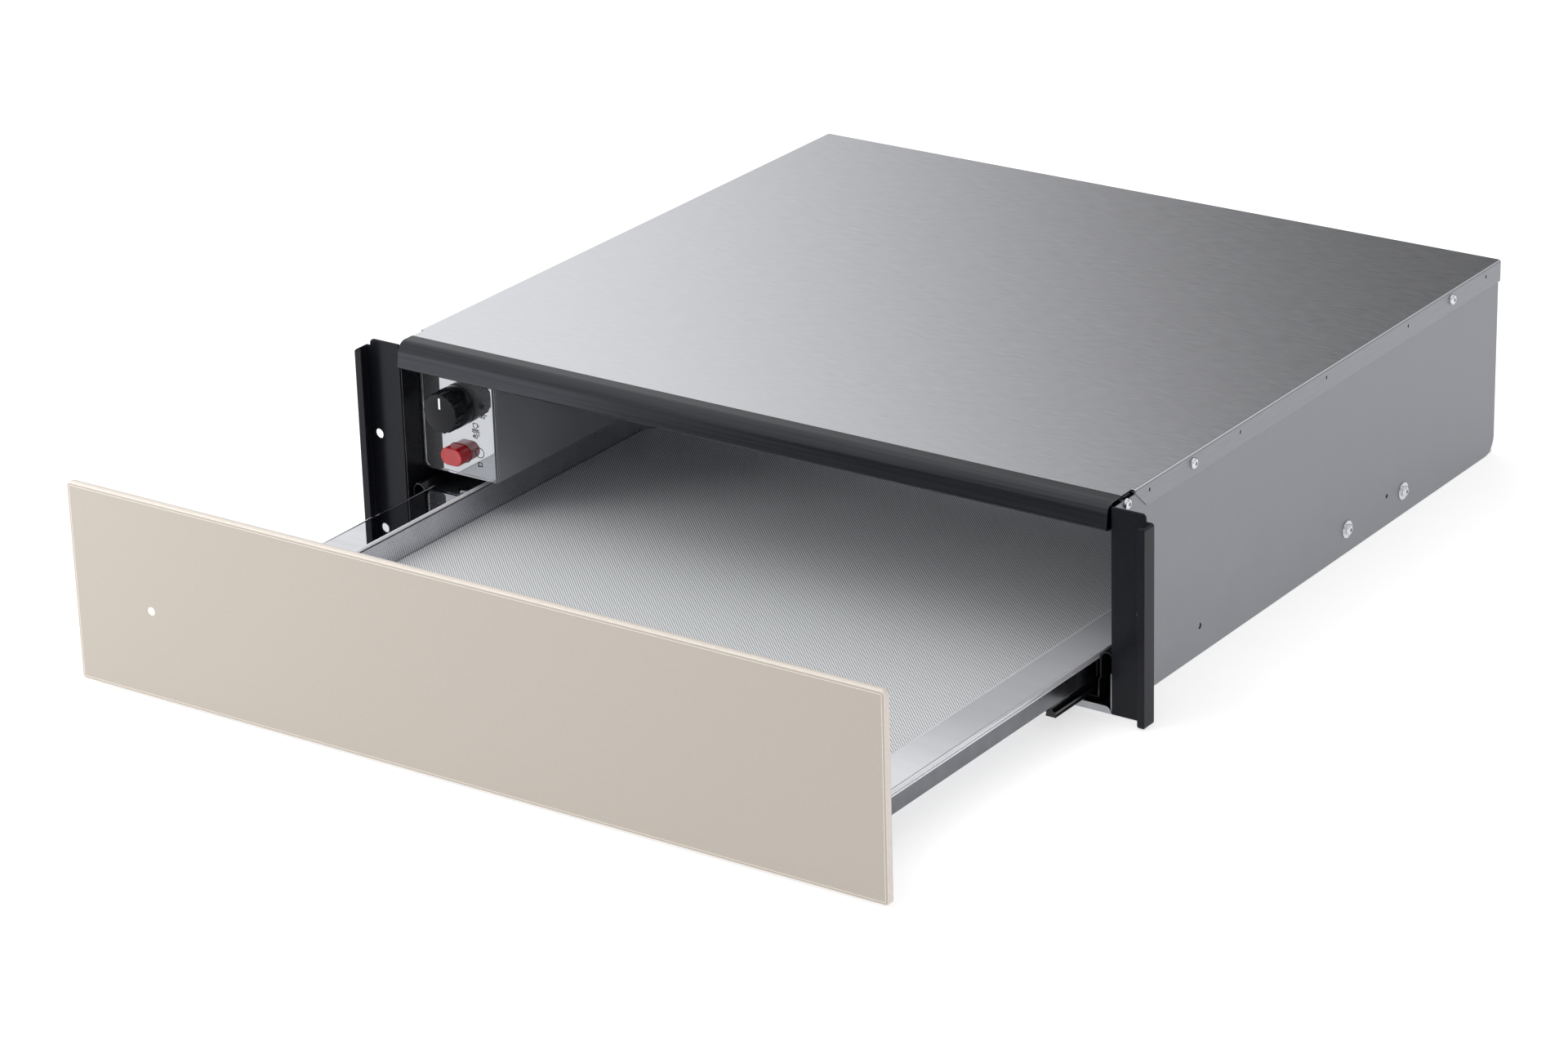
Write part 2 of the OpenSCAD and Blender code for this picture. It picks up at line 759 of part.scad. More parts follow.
module left_cabinet_rail() color(black) on_left() cabinet_rail();

// Middle rail: a beam with a grooved flange below and another above
module beam_section() difference() {
    translate([beam_x, 0]) union() {
        translate([-lower_half, lower_ball_z - lower_flange_h / 2]) square([2 * lower_half, lower_flange_h]);
        translate([-upper_half, upper_ball_z - upper_flange_h / 2]) square([2 * upper_half, upper_flange_h]);
        translate([-web_half, lower_ball_z]) square([2 * web_half, upper_ball_z - lower_ball_z]);
    }
    for (s = [-1, 1]) {
        translate([beam_x + s * lower_ball_x, lower_ball_z]) circle(lower_ball_r + fit_gap);
        translate([beam_x + s * upper_ball_x, upper_ball_z]) circle(upper_ball_r + fit_gap);
    }
}
module middle_rail() from_front() along_y(-beam_reach, beam_len - beam_reach) beam_section();
module right_middle_rail() color(black) middle_rail();
module left_middle_rail() color(black) on_left() middle_rail();

// Drawer rail: an inverted channel under the ledge
module drawer_rail() from_drawer() along_y(drawer_rail_start, drawer_rail_end) polygon(folded([
    [beam_x + upper_track - drawer_lip_w, drawer_rail_top - drawer_lip_drop],
    [beam_x + upper_track + drawer_rail_t, drawer_rail_top - drawer_lip_drop],
    [beam_x + upper_track + drawer_rail_t, drawer_rail_top],
    [beam_x - upper_track - drawer_rail_t, drawer_rail_top],
    [beam_x - upper_track - drawer_rail_t, drawer_rail_top - drawer_lip_drop],
    [beam_x - upper_track + drawer_lip_w, drawer_rail_top - drawer_lip_drop]
], drawer_rail_t));
module right_drawer_rail() color(zinc) drawer_rail();
module left_drawer_rail() color(zinc) on_left() drawer_rail();

// Ball cages: a strip folded round one flange of the beam, with holes that carry the balls.
// side is -1 where the cage passes below the flange and 1 where it passes above it.
module ball_cage(start, ball_x, ball_z, ball_r, side, drop, rise) {
    hole_r = ball_r + fit_gap;
    reach = start + cage_margin;
    low = side > 0 ? ball_z - drop : ball_z - rise;
    difference() {
        along_y(start, start + cage_len) {
            for (s = [-1, 1]) translate([beam_x + s * ball_x - cage_t / 2, low])
                square([cage_t, drop + rise]);
            translate([beam_x - ball_x - cage_t / 2, side > 0 ? ball_z + rise - cage_t : low])
                square([2 * ball_x + cage_t, cage_t]);
        }
        for (i = [0 : balls_per_side - 1])
            rod_x(beam_x - 2 * ball_x, beam_x + 2 * ball_x, reach + i * ball_pitch, ball_z, hole_r);
    }
    for (i = [0 : balls_per_side - 1], s = [-1, 1])
        translate([beam_x + s * ball_x, reach + i * ball_pitch, ball_z]) sphere(ball_r, $fn = 20);
}
module lower_cage() from_front() ball_cage(lower_cage_start, lower_ball_x, lower_ball_z, lower_ball_r, -1,
    lower_ball_r + cage_edge, lower_ball_z - channel_floor_z - cage_gap);
module upper_cage() from_front() ball_cage(upper_cage_start, upper_ball_x, upper_ball_z, upper_ball_r, 1,
    upper_ball_r + cage_edge, drawer_rail_top - drawer_rail_t - upper_ball_z - cage_gap);
module right_lower_ball_cage() color(zinc) lower_cage();
module left_lower_ball_cage() color(zinc) on_left() lower_cage();
module right_upper_ball_cage() color(zinc) upper_cage();
module left_upper_ball_cage() color(zinc) on_left() upper_cage();

// Control housing: a folded sheet box on the left, open to the side panel and the ceiling
module control_housing() color(steel) from_front() difference() {
    union() {
        along_y(bezel_back, housing_back) polygon(folded([
            [housing_x0, housing_z + housing_return], [housing_x0, housing_z], [housing_x1, housing_z],
            [housing_x1, housing_top], [housing_x1 - housing_return, housing_top]
        ], sheet_t));
        block([housing_x0 + sheet_t, housing_back - sheet_t, housing_z],
            [housing_x1, housing_back, housing_top]);
    }
    // Intake round the fan's inlet, and outlet beside the heater
    for (i = [0 : inlet_slots - 1]) {
        dz = (i - (inlet_slots - 1) / 2) * 2 * inlet_r / inlet_slots;
        along_x(housing_x1 - sheet_t - over, housing_x1 + over) translate([fan_y, fan_z + dz])
            oblong(2 * sqrt(inlet_r * inlet_r - dz * dz) + slot_w, slot_w);
    }
    for (i = [0 : grille_rows - 1])
        along_x(housing_x1 - sheet_t - over, housing_x1 + over)
            translate([grille_y0 + grille_len / 2, fan_z + (i - (grille_rows - 1) / 2) * slot_pitch])
                oblong(grille_len, slot_w);
    for (y = housing_screw_y) translate([housing_screw_x, y, housing_z - over])
        cylinder(h = sheet_t + 2 * over, r = screw_hole_r);
}

// Black bezel behind the glossy face, and the face with its raised rim
module face_holes(shaft_hole, gap) {
    translate([knob_x, knob_z]) circle(shaft_hole);
    translate([button_x, button_z]) oblong(button_w + 2 * gap, button_h + 2 * gap);
}
module face_outline(lo, hi) {
    rounded(lo, hi, face_corner_r);
    translate([knob_x, lo.y]) square([hi.x - knob_x, hi.y - lo.y]);
}
module control_bezel() color(black) from_front() along_y(face_back, bezel_back) difference() {
    translate([housing_x0, housing_z]) square([housing_x1 - housing_x0, housing_top - housing_z]);
    face_holes(bushing_r + fit_gap, run_gap);
}
module control_face() color(face_white) from_front() {
    lo = [housing_x0 + face_edge, housing_z + face_edge];
    hi = [housing_x1 - face_edge, housing_top - face_edge];
    rim = [face_rim_w, face_rim_w];
    along_y(housing_setback, face_back - fit_gap / 2) difference() {
        face_outline(lo, hi);
        face_holes(bushing_r + fit_gap, run_gap);
    }
    along_y(housing_setback - face_rim_h, face_back - fit_gap) difference() {
        face_outline(lo, hi);
        rounded(lo + rim, hi - rim, face_corner_r - face_rim_w);
    }
}

// Thermostat with its bushing, and the shaft that the knob turns
module thermostat_body() color(zinc) from_front() difference() {
    union() {
        translate([knob_x - thermostat.x / 2, thermostat_y, knob_z - thermostat.z / 2]) cube(thermostat);
        rod_y(housing_setback + bushing_recess, thermostat_y, knob_x, knob_z, bushing_r);
    }
    rod_y(housing_setback - over, thermostat_y + thermostat.y - thermostat_wall, knob_x, knob_z,
        shaft_r + shaft_gap);
}
module thermostat_shaft() color(brass) from_front()
    rod_y(knob_front + knob_depth - shaft_bore_depth + shaft_end_gap,
        thermostat_y + thermostat.y - thermostat_wall - shaft_end_gap, knob_x, knob_z, shaft_r);

// Temperature knob: a fluted front half, a plain collar and a raised pointer
module knob_shape() {
    difference() {
        union() {
            cylinder(h = knob_depth, r = knob_d / 2);
            translate([0, 0, knob_fluted]) cylinder(h = knob_depth - knob_fluted, r = knob_collar_r);
        }
        for (i = [0 : knob_flutes - 1]) rotate([0, 0, i * 360 / knob_flutes])
            translate([knob_d / 2 + knob_flute_r * flute_centre_share, 0, -over])
                cylinder(h = knob_fluted + over - knob_step, r = knob_flute_r, $fn = 20);
        translate([0, 0, knob_depth - shaft_bore_depth])
            cylinder(h = shaft_bore_depth + over, r = shaft_r + press_gap);
    }
    translate([-pointer_w / 2, -knob_d / 2 + pointer_inset, -pointer_t])
        cube([pointer_w, pointer_h, 2 * pointer_t]);
}
module temperature_knob() color(black) from_front()
    translate([knob_x, knob_front, knob_z]) rotate([-90, -knob_rest, 0]) knob_shape();

// Switch and its button
module switch_body() color(black) from_front() difference() {
    translate([button_x - switch_case.x / 2, thermostat_y, button_z - switch_case.z / 2]) cube(switch_case);
    along_y(thermostat_y - over, button_back + button_travel + button_dome)
        translate([button_x, button_z]) oblong(button_w + 2 * run_gap, button_h + 2 * run_gap);
}
module power_button() color(button_red) from_front() translate([button_x, 0, button_z]) {
    along_y(button_front + button_dome, button_back) oblong(button_w, button_h);
    along_y(button_front, button_back)
        oblong(button_w - button_dome, button_h - button_dome);
}

// Fan: a scroll with a straight outlet, a wheel of curved blades and a small shaded-pole motor
module scroll_outline(r, half_h) {
    circle(r);
    translate([0, r - 2 * half_h]) square([scroll_outlet, 2 * half_h]);
}
module fan_scroll() color(zinc) from_front() difference() {
    along_x(scroll_x0, scroll_x1) translate([fan_y, fan_z]) scroll_outline(scroll_r + scroll_t, outlet_h / 2);
    along_x(scroll_x0 + scroll_t, scroll_x1 - scroll_t) translate([fan_y, fan_z]) {
        scroll_outline(scroll_r, outlet_h / 2 - scroll_t);
        translate([scroll_outlet - scroll_t, scroll_r - outlet_h + scroll_t])
            square([2 * scroll_t, outlet_h - 2 * scroll_t]);
    }
    rod_x(scroll_x1 - scroll_t - over, scroll_x1 + over, fan_y, fan_z, inlet_r);
    rod_x(scroll_x0 - over, scroll_x0 + scroll_t + over, fan_y, fan_z, hub_r);
}
module blade() {
    r1 = wheel_r - blade_margin;
    path = [[r1 - blade_depth, 0], [r1 - blade_depth / 2, blade_sweep / 4], [r1, blade_sweep]];
    polygon(folded(path, wheel_t));
}
module fan_impeller() color(black) from_front() {
    translate([wheel_x, fan_y, fan_z]) rotate([90, 0, 90]) {
        cylinder(h = wheel_t, r = wheel_r);
        translate([0, 0, wheel_w - wheel_t]) difference() {
            cylinder(h = wheel_t, r = wheel_r);
            translate([0, 0, -over]) cylinder(h = wheel_t + 2 * over, r = wheel_r - blade_depth);
        }
        cylinder(h = wheel_w / 2, r = hub_r);
        for (i = [0 : wheel_blades - 1]) rotate([0, 0, i * 360 / wheel_blades])
            linear_extrude(wheel_w) blade();
    }
    rod_x(stator_x - stator.x, wheel_x, fan_y, fan_z, motor_shaft_r);
}
module pair_y(middle) {
    children();
    translate([0, 2 * middle, 0]) mirror([0, 1, 0]) children();
}
module fan_motor() color(copper) from_front() difference() {
    union() {
        translate([stator_x - stator.x, fan_y - stator.y / 2, fan_z - stator.z / 2]) cube(stator);
        rod_y(fan_y - coil_len / 2, fan_y + coil_len / 2, stator_x - stator.x / 2, fan_z - coil_drop, coil_r);
        rod_x(stator_x - stator.x, scroll_x0 - fit_gap, fan_y, fan_z, hub_r - scroll_t);
        pair_y(fan_y) rod_x(stator_x - stator.x, scroll_x0 - fit_gap, fan_y + stator.y / 2 - stud_inset,
            fan_z, stud_r);
    }
    rod_x(stator_x - stator.x - over, scroll_x0 + over, fan_y, fan_z, motor_shaft_r + shaft_gap);
}

// Air duct round the heater: floor, outer wall and roof, open to the grille
module air_duct() color(steel) from_front() {
    along_y(duct_y0, duct_y1) polygon(folded([
        [duct_x1, duct_top], [duct_x0, duct_top], [duct_x0, duct_low], [duct_x1, duct_low]
    ], sheet_t));
    block([duct_x0, duct_y1 - sheet_t, duct_low], [duct_x1, duct_y1, duct_top]);
}

// Heating tube: straight runs joined by half-round bends, held by a clip on the duct's wall
module tube_bend() rotate_extrude(angle = 180) translate([heater_bend_r, 0]) circle(heater_d / 2, $fn = 24);
module heater_element() color(copper) from_front() {
    run_y1 = heater_y0 + heater_run;
    z0 = fan_z - (heater_runs - 1) * heater_bend_r;
    for (i = [0 : heater_runs - 1])
        rod_y(heater_y0, run_y1, heater_x, z0 + 2 * i * heater_bend_r, heater_d / 2);
    for (i = [0 : heater_runs - 2])
        translate([heater_x, i % 2 == 0 ? run_y1 : heater_y0, z0 + (2 * i + 1) * heater_bend_r])
            rotate([0, -90, 0]) rotate([0, 0, i % 2 == 0 ? 0 : 180]) tube_bend();
    for (i = [0, heater_runs - 1])
        rod_y(heater_y0 - heater_lead, heater_y0, heater_x, z0 + 2 * i * heater_bend_r, heater_d / 2);
    block([duct_x0 + sheet_t + fit_gap, heater_y0, duct_low + sheet_t + fit_gap],
        [heater_x, heater_y0 + heater_clip_t, duct_top - sheet_t - fit_gap]);
}

// Thermal cut-out on the duct's end, terminal block, wires and cable gland
module thermal_cutout() color(zinc) from_front() {
    rod_y(duct_y1 + fit_gap, duct_y1 + cutout_h, heater_x, fan_z + cutout_rise, cutout_r);
    rod_y(duct_y1 + fit_gap, duct_y1 + cutout_h + cutout_cap_h, heater_x, fan_z + cutout_rise, cutout_r / 2);
}
module terminal_block() color(face_white) from_front()
    translate([heater_x, terminal_y, housing_z + sheet_t + fit_gap]) difference() {
        translate([-terminal_w / 2, 0, 0]) cube([terminal_w, terminals * terminal_pitch, terminal_h]);
        for (i = [0 : terminals - 1]) {
            y = (i + 1 / 2) * terminal_pitch;
            translate([0, y, terminal_h / 2]) cylinder(h = terminal_h, r = terminal_well_r);
            rod_x(-terminal_w, terminal_w, y, terminal_h / 3, terminal_wire_r);
        }
    }
module wiring_harness() color(face_white) from_front() {
    lane_x = housing_x0 + sheet_t + harness_r + fit_gap;
    lane_z = housing_z + sheet_t + harness_r + fit_gap;
    rod_y(thermostat_y + switch_case.y, terminal_y + terminal_pitch, lane_x, lane_z, harness_r);
    rod_x(lane_x, heater_x - terminal_w / 2 - fit_gap, terminal_y + terminal_pitch, lane_z, harness_r);
    translate([lane_x, terminal_y + terminal_pitch, lane_z]) sphere(harness_r);
}
module cable_gland() color(black) from_front() difference() {
    union() {
        rod_y(back_in - gland_in, chassis_d + gland_out, gland_x, gland_z, gland_body_r);
        rod_y(chassis_d - sheet_t, chassis_d - sheet_t + gland_flange_t, gland_x, gland_z, gland_flange_r);
        rod_y(back_in - gland_flange_t, back_in, gland_x, gland_z, gland_flange_r);
    }
    rod_y(back_in - gland_in - over, chassis_d + gland_out + over, gland_x, gland_z, gland_bore_r);
}

// Push latch: a shallow housing open towards the drawer, a claw on a pivot, and the striker's pin
module latch_housing() color(black) from_front() difference() {
    pivot = [pivot_dx, latch_y + pivot_dy];
    union() {
        difference() {
            along_z(sheet_t + fit_gap, latch_top)
                rounded([-latch_side, latch_front], [latch_right, latch_back], latch_wall);
            along_z(well_z, latch_top + over) translate([-well_side, latch_front + latch_wall])
                square([well_side + well_right, latch_back - latch_front - 2 * latch_wall]);
        }
        translate([pivot.x, pivot.y, sheet_t + fit_gap])
            cylinder(h = latch_top - sheet_t - fit_gap, r = pivot_r);
    }
    along_z(0, latch_top + over) translate([-pin_r - pin_gap, latch_front - over])
        square([2 * pin_r + 2 * pin_gap, latch_y + pin_r + pin_gap - latch_front + over]);
}
module hook_outline() {
    tip = [-pivot_dx - claw_past, -pivot_dy - pin_r - claw_gap];
    circle(hook_eye_r);
    polygon([
        [hook_eye_r, 0], [-hook_eye_r, 0], [-hook_eye_r, tip.y + claw_w / 2], tip,
        [tip.x, tip.y - claw_w / 2], [-hook_eye_r / 2, tip.y - claw_w], [0, tip.y - claw_w]
    ]);
}
module latch_hook() color(zinc) from_front() translate([pivot_dx, latch_y + pivot_dy, 0])
    rotate([0, 0, release_angle]) along_z(hook_z, hook_z + hook_t) difference() {
        hook_outline();
        circle(pivot_r + shaft_gap);
    }
module latch_striker() color(zinc) from_drawer() {
    block([-striker_w / 2, latch_y - striker_d / 2, floor_under - fit_gap - striker_t],
        [striker_w / 2, latch_y + striker_d / 2, floor_under - fit_gap]);
    translate([0, latch_y, pin_low]) cylinder(h = floor_under - fit_gap - pin_low, r = pin_r);
}

// Drawer front: bevelled glass on a folded backing plate, with the light guide through both
module glass_panel() color(glass_beige) from_drawer() difference() {
    union() {
        along_y(glass_front + panel_bevel, glass_back)
            rounded([-panel_w / 2, panel_lift], [panel_w / 2, panel_lift + panel_h], panel_corner_r);
        along_y(glass_front, glass_back) rounded(
            [-panel_w / 2 + panel_bevel, panel_lift + panel_bevel],
            [panel_w / 2 - panel_bevel, panel_lift + panel_h - panel_bevel], panel_corner_r - panel_bevel);
    }
    rod_y(glass_front - over, glass_back + over, lens_x, lens_z, lens_d / 2 + fit_gap / 2);
}
module backing_area(inset) {
    w = panel_w / 2 - backing_inset - inset;
    translate([-w, panel_lift + backing_bottom + inset])
        square([2 * w, panel_h - backing_bottom - backing_inset - 2 * inset]);
}
module panel_backing() color(zinc) from_drawer() difference() {
    union() {
        along_y(glass_back, panel_back) backing_area(0);
        along_y(panel_back - fit_gap, panel_back + backing_fold) difference() {
            backing_area(0);
            backing_area(backing_t);
        }
    }
    rod_y(glass_back - over, panel_back + over, lens_x, lens_z, lens_d / 2 + fit_gap / 2);
}
module indicator_lens() color(face_white) from_drawer() {
    rod_y(glass_front, panel_back + lens_flange, lens_x, lens_z, lens_d / 2);
    rod_y(panel_back + fit_gap, panel_back + lens_flange, lens_x, lens_z,
        lens_d / 2 + lens_flange_w);
}

// Tray: drawn from one sheet, with polished ledges, outer lips and an upstand behind the front
module tray_hole(grow) rounded([-tray_half - grow, tray_front - grow], [tray_half + grow, tray_back + grow],
    tray_corner_r + grow);
module tray() color(mirror_steel) from_drawer() {
    lip_z = ledge_z - ledge_lip_h;
    ledge_front = panel_back + fit_gap;
    difference() {
        union() {
            block([-ledge_half, ledge_front, ledge_under], [ledge_half, tray_back + back_ledge, ledge_z]);
            along_z(floor_under, ledge_z) tray_hole(sheet_t);
        }
        along_z(floor_top, ledge_z + over) tray_hole(0);
    }
    pair() block([ledge_half - sheet_t, ledge_front, lip_z], [ledge_half, tray_back + back_ledge, ledge_z]);
    block([-upstand_half, ledge_front, ledge_under],
        [upstand_half, ledge_front + sheet_t, ledge_z + upstand_h]);
}
module anti_slip_mat() color(mat_grey) from_drawer()
    along_z(floor_top + fit_gap, floor_top + fit_gap + mat_t) tray_hole(-mat_gap);

// Brackets that carry the front on the ledges, and the screws of the front
module panel_bracket() from_drawer() {
    x1 = beam_x - upper_track - drawer_rail_t - bracket_gap;
    y0 = panel_back + fit_gap;
    z1 = ledge_under - fit_gap;
    z0 = panel_lift + backing_bottom + backing_t + bracket_rise;
    block([x1 - bracket_w, y0, z0], [x1, y0 + bracket_t, z1]);
    block([x1 - bracket_w, y0, z1 - bracket_t], [x1, y0 + bracket_reach, z1]);
}
module right_panel_bracket() color(zinc) panel_bracket();
module left_panel_bracket() color(zinc) on_left() panel_bracket();
module panel_screws() color(zinc) from_drawer() pair() {
    y = panel_back + fit_gap + sheet_t;
    for (share = panel_screw_shares) rod_y(y, y + screw_head_h, upstand_half * share, ledge_z + upstand_h / 2,
        screw_head_r);
}

// Screws of the chassis
module cover_screws() color(zinc) from_front() pair()
    for (y = lip_screws) screw_from_right(cover_half, y, chassis_h - lip_screw_drop, screw_short);
module slide_screws() color(zinc) from_front() pair() for (y = slide_screws) {
    screw_from_right(side_out + washer_t, y, slide_screw_z, screw_mid);
    rod_x(side_out, side_out + washer_t, y, slide_screw_z, washer_r);
}
module flange_screws() color(black) from_front() pair()
    for (z = leg_screws) screw_from_right(side_out + fit_gap + flange_t, leg_screw_y, z,
        fit_gap + flange_t + sheet_t);
module trim_screws() color(zinc) from_front() pair()
    screw_from_right(side_out, trim_screw_y, trim_screw_z, screw_long);
module housing_screws() color(zinc) from_front() for (y = housing_screw_y)
    translate([housing_screw_x, y, housing_z]) rotate([180, 0, 0]) screw(screw_stub);
module back_screws() color(zinc) from_front() pair() for (z = back_screw_z)
    translate([side_out - back_screw_inset, chassis_d, z]) rotate([-90, 0, 0]) screw(screw_short);

bottom_plate();
left_side_panel();
right_side_panel();
back_panel();
top_cover();
front_trim();
left_mounting_flange();
right_mounting_flange();
inner_ceiling();
ceiling_insulation();
left_cabinet_rail();
right_cabinet_rail();
control_housing();
control_bezel();
control_face();
thermostat_body();
switch_body();
fan_scroll();
fan_motor();
air_duct();
heater_element();
thermal_cutout();
terminal_block();
wiring_harness();
cable_gland();
latch_housing();
cover_screws();
slide_screws();
flange_screws();
trim_screws();
housing_screws();
back_screws();
glass_panel();
panel_backing();
indicator_lens();
tray();
anti_slip_mat();
left_drawer_rail();
right_drawer_rail();
left_panel_bracket();
right_panel_bracket();
latch_striker();
panel_screws();
left_middle_rail();
right_middle_rail();
left_lower_ball_cage();
right_lower_ball_cage();
left_upper_ball_cage();
right_upper_ball_cage();
temperature_knob();
thermostat_shaft();
power_button();
latch_hook();
fan_impeller();
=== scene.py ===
import math
import random

import bmesh
import bpy
from mathutils import Matrix, Vector


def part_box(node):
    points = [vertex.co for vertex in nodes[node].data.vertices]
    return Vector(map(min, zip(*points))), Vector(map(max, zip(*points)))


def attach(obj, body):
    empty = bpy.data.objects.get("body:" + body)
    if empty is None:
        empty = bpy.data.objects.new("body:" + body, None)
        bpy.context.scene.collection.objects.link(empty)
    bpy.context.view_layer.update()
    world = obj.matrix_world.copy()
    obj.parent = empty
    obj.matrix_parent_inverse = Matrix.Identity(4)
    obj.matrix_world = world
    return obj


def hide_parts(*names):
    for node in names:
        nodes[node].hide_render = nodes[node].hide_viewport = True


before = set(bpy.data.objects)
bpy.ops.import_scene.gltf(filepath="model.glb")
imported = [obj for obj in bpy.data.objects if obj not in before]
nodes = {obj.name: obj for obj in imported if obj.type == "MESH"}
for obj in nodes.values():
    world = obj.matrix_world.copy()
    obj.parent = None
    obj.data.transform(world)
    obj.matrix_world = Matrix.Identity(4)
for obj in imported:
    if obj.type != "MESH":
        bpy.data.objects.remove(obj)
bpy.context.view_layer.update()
print("frame loaded,", len(nodes), "solids")

mm = 0.001
flangeY = -248.5           # plane of the mounting flanges, in mm as every length below
drawerY = flangeY - 269.0  # the same plane, carried by the drawer where it is shown


# Colours and node trees

surface = {
    "sheetEdge": 0.3,      # how far an edge of sheet metal or glass is rounded, in mm
    "finishEdge": 0.2,     # the same on plastic, the mat and polished steel
    "grainHeight": 0.1,    # relief of a brushed or drawn grain
    "skinHeight": 0.05,    # relief of lacquer, plastic and etched glass
    "bevelSamples": 4,
    "tintFrom": 0.3,       # between these two levels a pattern goes from its dark to its light tint
    "tintTo": 0.7,
}


def fromHex(text, alpha=1.0):
    parts = [int(text[i:i + 2], 16) / 255 for i in (1, 3, 5)]
    return tuple(p / 12.92 if p <= 0.04045 else ((p + 0.055) / 1.055) ** 2.4 for p in parts) + (alpha,)


def addNode(tree, kind, settings=None, links=None, values=None):
    node = tree.nodes.new(kind)
    for name, value in (settings or {}).items():
        setattr(node, name, value)
    for name, value in (values or {}).items():
        node.inputs[name].default_value = value
    for name, source in (links or {}).items():
        tree.links.new(source, node.inputs[name])
    return node


def newMaterial(name, shader):
    material = bpy.data.materials.new(name)
    material.use_nodes = True
    tree = material.node_tree
    principled = tree.nodes["Principled BSDF"]
    for socket, value in shader.items():
        principled.inputs[socket].default_value = value
    return material, tree, principled


def objectPlace(tree, scale):
    coords = addNode(tree, "ShaderNodeTexCoord")
    mapping = addNode(tree, "ShaderNodeMapping", links={"Vector": coords.outputs["Object"]}, values={"Scale": scale})
    return mapping.outputs["Vector"]


def softEdges(tree, principled, radius, bumpFrom=None, strength=0.0, height=0.0):
    bevel = addNode(tree, "ShaderNodeBevel", {"samples": surface["bevelSamples"]}, values={"Radius": radius * mm})
    normal = bevel.outputs["Normal"]
    if bumpFrom is not None:
        bump = addNode(tree, "ShaderNodeBump", links={"Height": bumpFrom, "Normal": normal},
                       values={"Strength": strength, "Distance": height * mm})
        normal = bump.outputs["Normal"]
    tree.links.new(normal, principled.inputs["Normal"])


def tintBetween(tree, principled, factor, dark, light):
    ramp = addNode(tree, "ShaderNodeValToRGB", links={"Fac": factor})
    ends = ((surface["tintFrom"], dark), (surface["tintTo"], light))
    for element, (position, colour) in zip(ramp.color_ramp.elements, ends):
        element.position, element.color = position, fromHex(colour)
    tree.links.new(ramp.outputs["Color"], principled.inputs["Base Color"])


# What most finishes share: a noise of a given size in mm, which tints the surface between two colours, moves
# its roughness between two values and gives it a relief, of a given strength and height in mm
def patternedFinish(name, shader, size, noise, tints, rough, edge, relief=None, dimensions="3D"):
    material, tree, principled = newMaterial(name, shader)
    place = objectPlace(tree, tuple(1 / (s * mm) for s in size))
    pattern = addNode(tree, "ShaderNodeTexNoise", {"noise_dimensions": dimensions}, {"Vector": place},
                      dict({"Scale": 1.0}, **noise)).outputs["Fac"]
    tintBetween(tree, principled, pattern, *tints)
    if rough:
        ends = {"From Min": surface["tintFrom"], "From Max": surface["tintTo"], "To Min": rough[0], "To Max": rough[1]}
        spread = addNode(tree, "ShaderNodeMapRange", links={"Value": pattern}, values=ends)
        tree.links.new(spread.outputs["Result"], principled.inputs["Roughness"])
    if relief:
        softEdges(tree, principled, edge, pattern, *relief)
    else:
        softEdges(tree, principled, edge)
    return material


# Brushed stainless steel, ground with a belt along the width: streaks that blur what it mirrors.
# Real grit lines are about 0.05 mm apart, drawn here about 0.8 mm apart so that they show. The streak is
# given in waves per mm along X, Y and Z.
def brushedSteel(name, dark, light, low, high, streak=(0.07, 1.3, 1.3), seed=0.0, bump=0.03):
    return patternedFinish(name, {"Metallic": 1.0}, [1 / s for s in streak],
                           {"Detail": 4.0, "Roughness": 0.65, "W": seed}, (dark, light), (low, high),
                           surface["sheetEdge"], (bump, surface["grainHeight"]), "4D")


# Zinc-plated sheet: dull, with faint clouds a few centimetres wide
def platedSteel(name, dark, light, roughness, metallic=1.0, cloud=28.0, edge=surface["sheetEdge"], spread=0.05):
    return patternedFinish(name, {"Metallic": metallic}, (cloud,) * 3, {"Detail": 5.0, "Roughness": 0.6},
                           (dark, light), (roughness - spread, roughness + spread), edge)


# Baked black lacquer: satin to glossy, with a fine orange peel of about 1.5 mm
def bakedLacquer(name, dark, light, roughness, peel=1.5, bump=0.03, shine=0.5, spread=0.03):
    return patternedFinish(name, {"Metallic": 0.0, "IOR": 1.5, "Specular IOR Level": shine}, (peel,) * 3,
                           {"Detail": 2.0}, (dark, light), (roughness - spread, roughness + spread),
                           surface["sheetEdge"], (bump, surface["skinHeight"]))


# Moulded plastic: a fine spark-eroded grain of about 0.6 mm
def mouldedPlastic(name, dark, light, roughness, grain=0.6, bump=0.1, extra=None, spread=0.03):
    return patternedFinish(name, dict({"Metallic": 0.0, "IOR": 1.46}, **(extra or {})), (grain,) * 3,
                           {"Detail": 3.0}, (dark, light), (roughness - spread, roughness + spread),
                           surface["finishEdge"], (bump, surface["skinHeight"]))


# Polished stainless steel: reflections with faint drawing waves a centimetre or so wide
def polishedSteel(name, dark, light, low, high, waves=(60, 14, 14), bump=0.03, metallic=1.0):
    return patternedFinish(name, {"Metallic": metallic}, waves, {"Detail": 2.0}, (dark, light), (low, high),
                           surface["finishEdge"], (bump, surface["grainHeight"]))


# Toughened glass, etched satin in front and lacquered beige behind: soft sheen, paler ground edge
def etchedGlass(name, dark, light, roughness, speckle=2.2, bump=0.03):
    shader = {"Metallic": 0.0, "IOR": 1.52, "Roughness": roughness, "Specular IOR Level": 0.35}
    return patternedFinish(name, shader, (speckle,) * 3, {"Detail": 4.0}, (dark, light), None,
                           surface["sheetEdge"], (bump, surface["skinHeight"]))


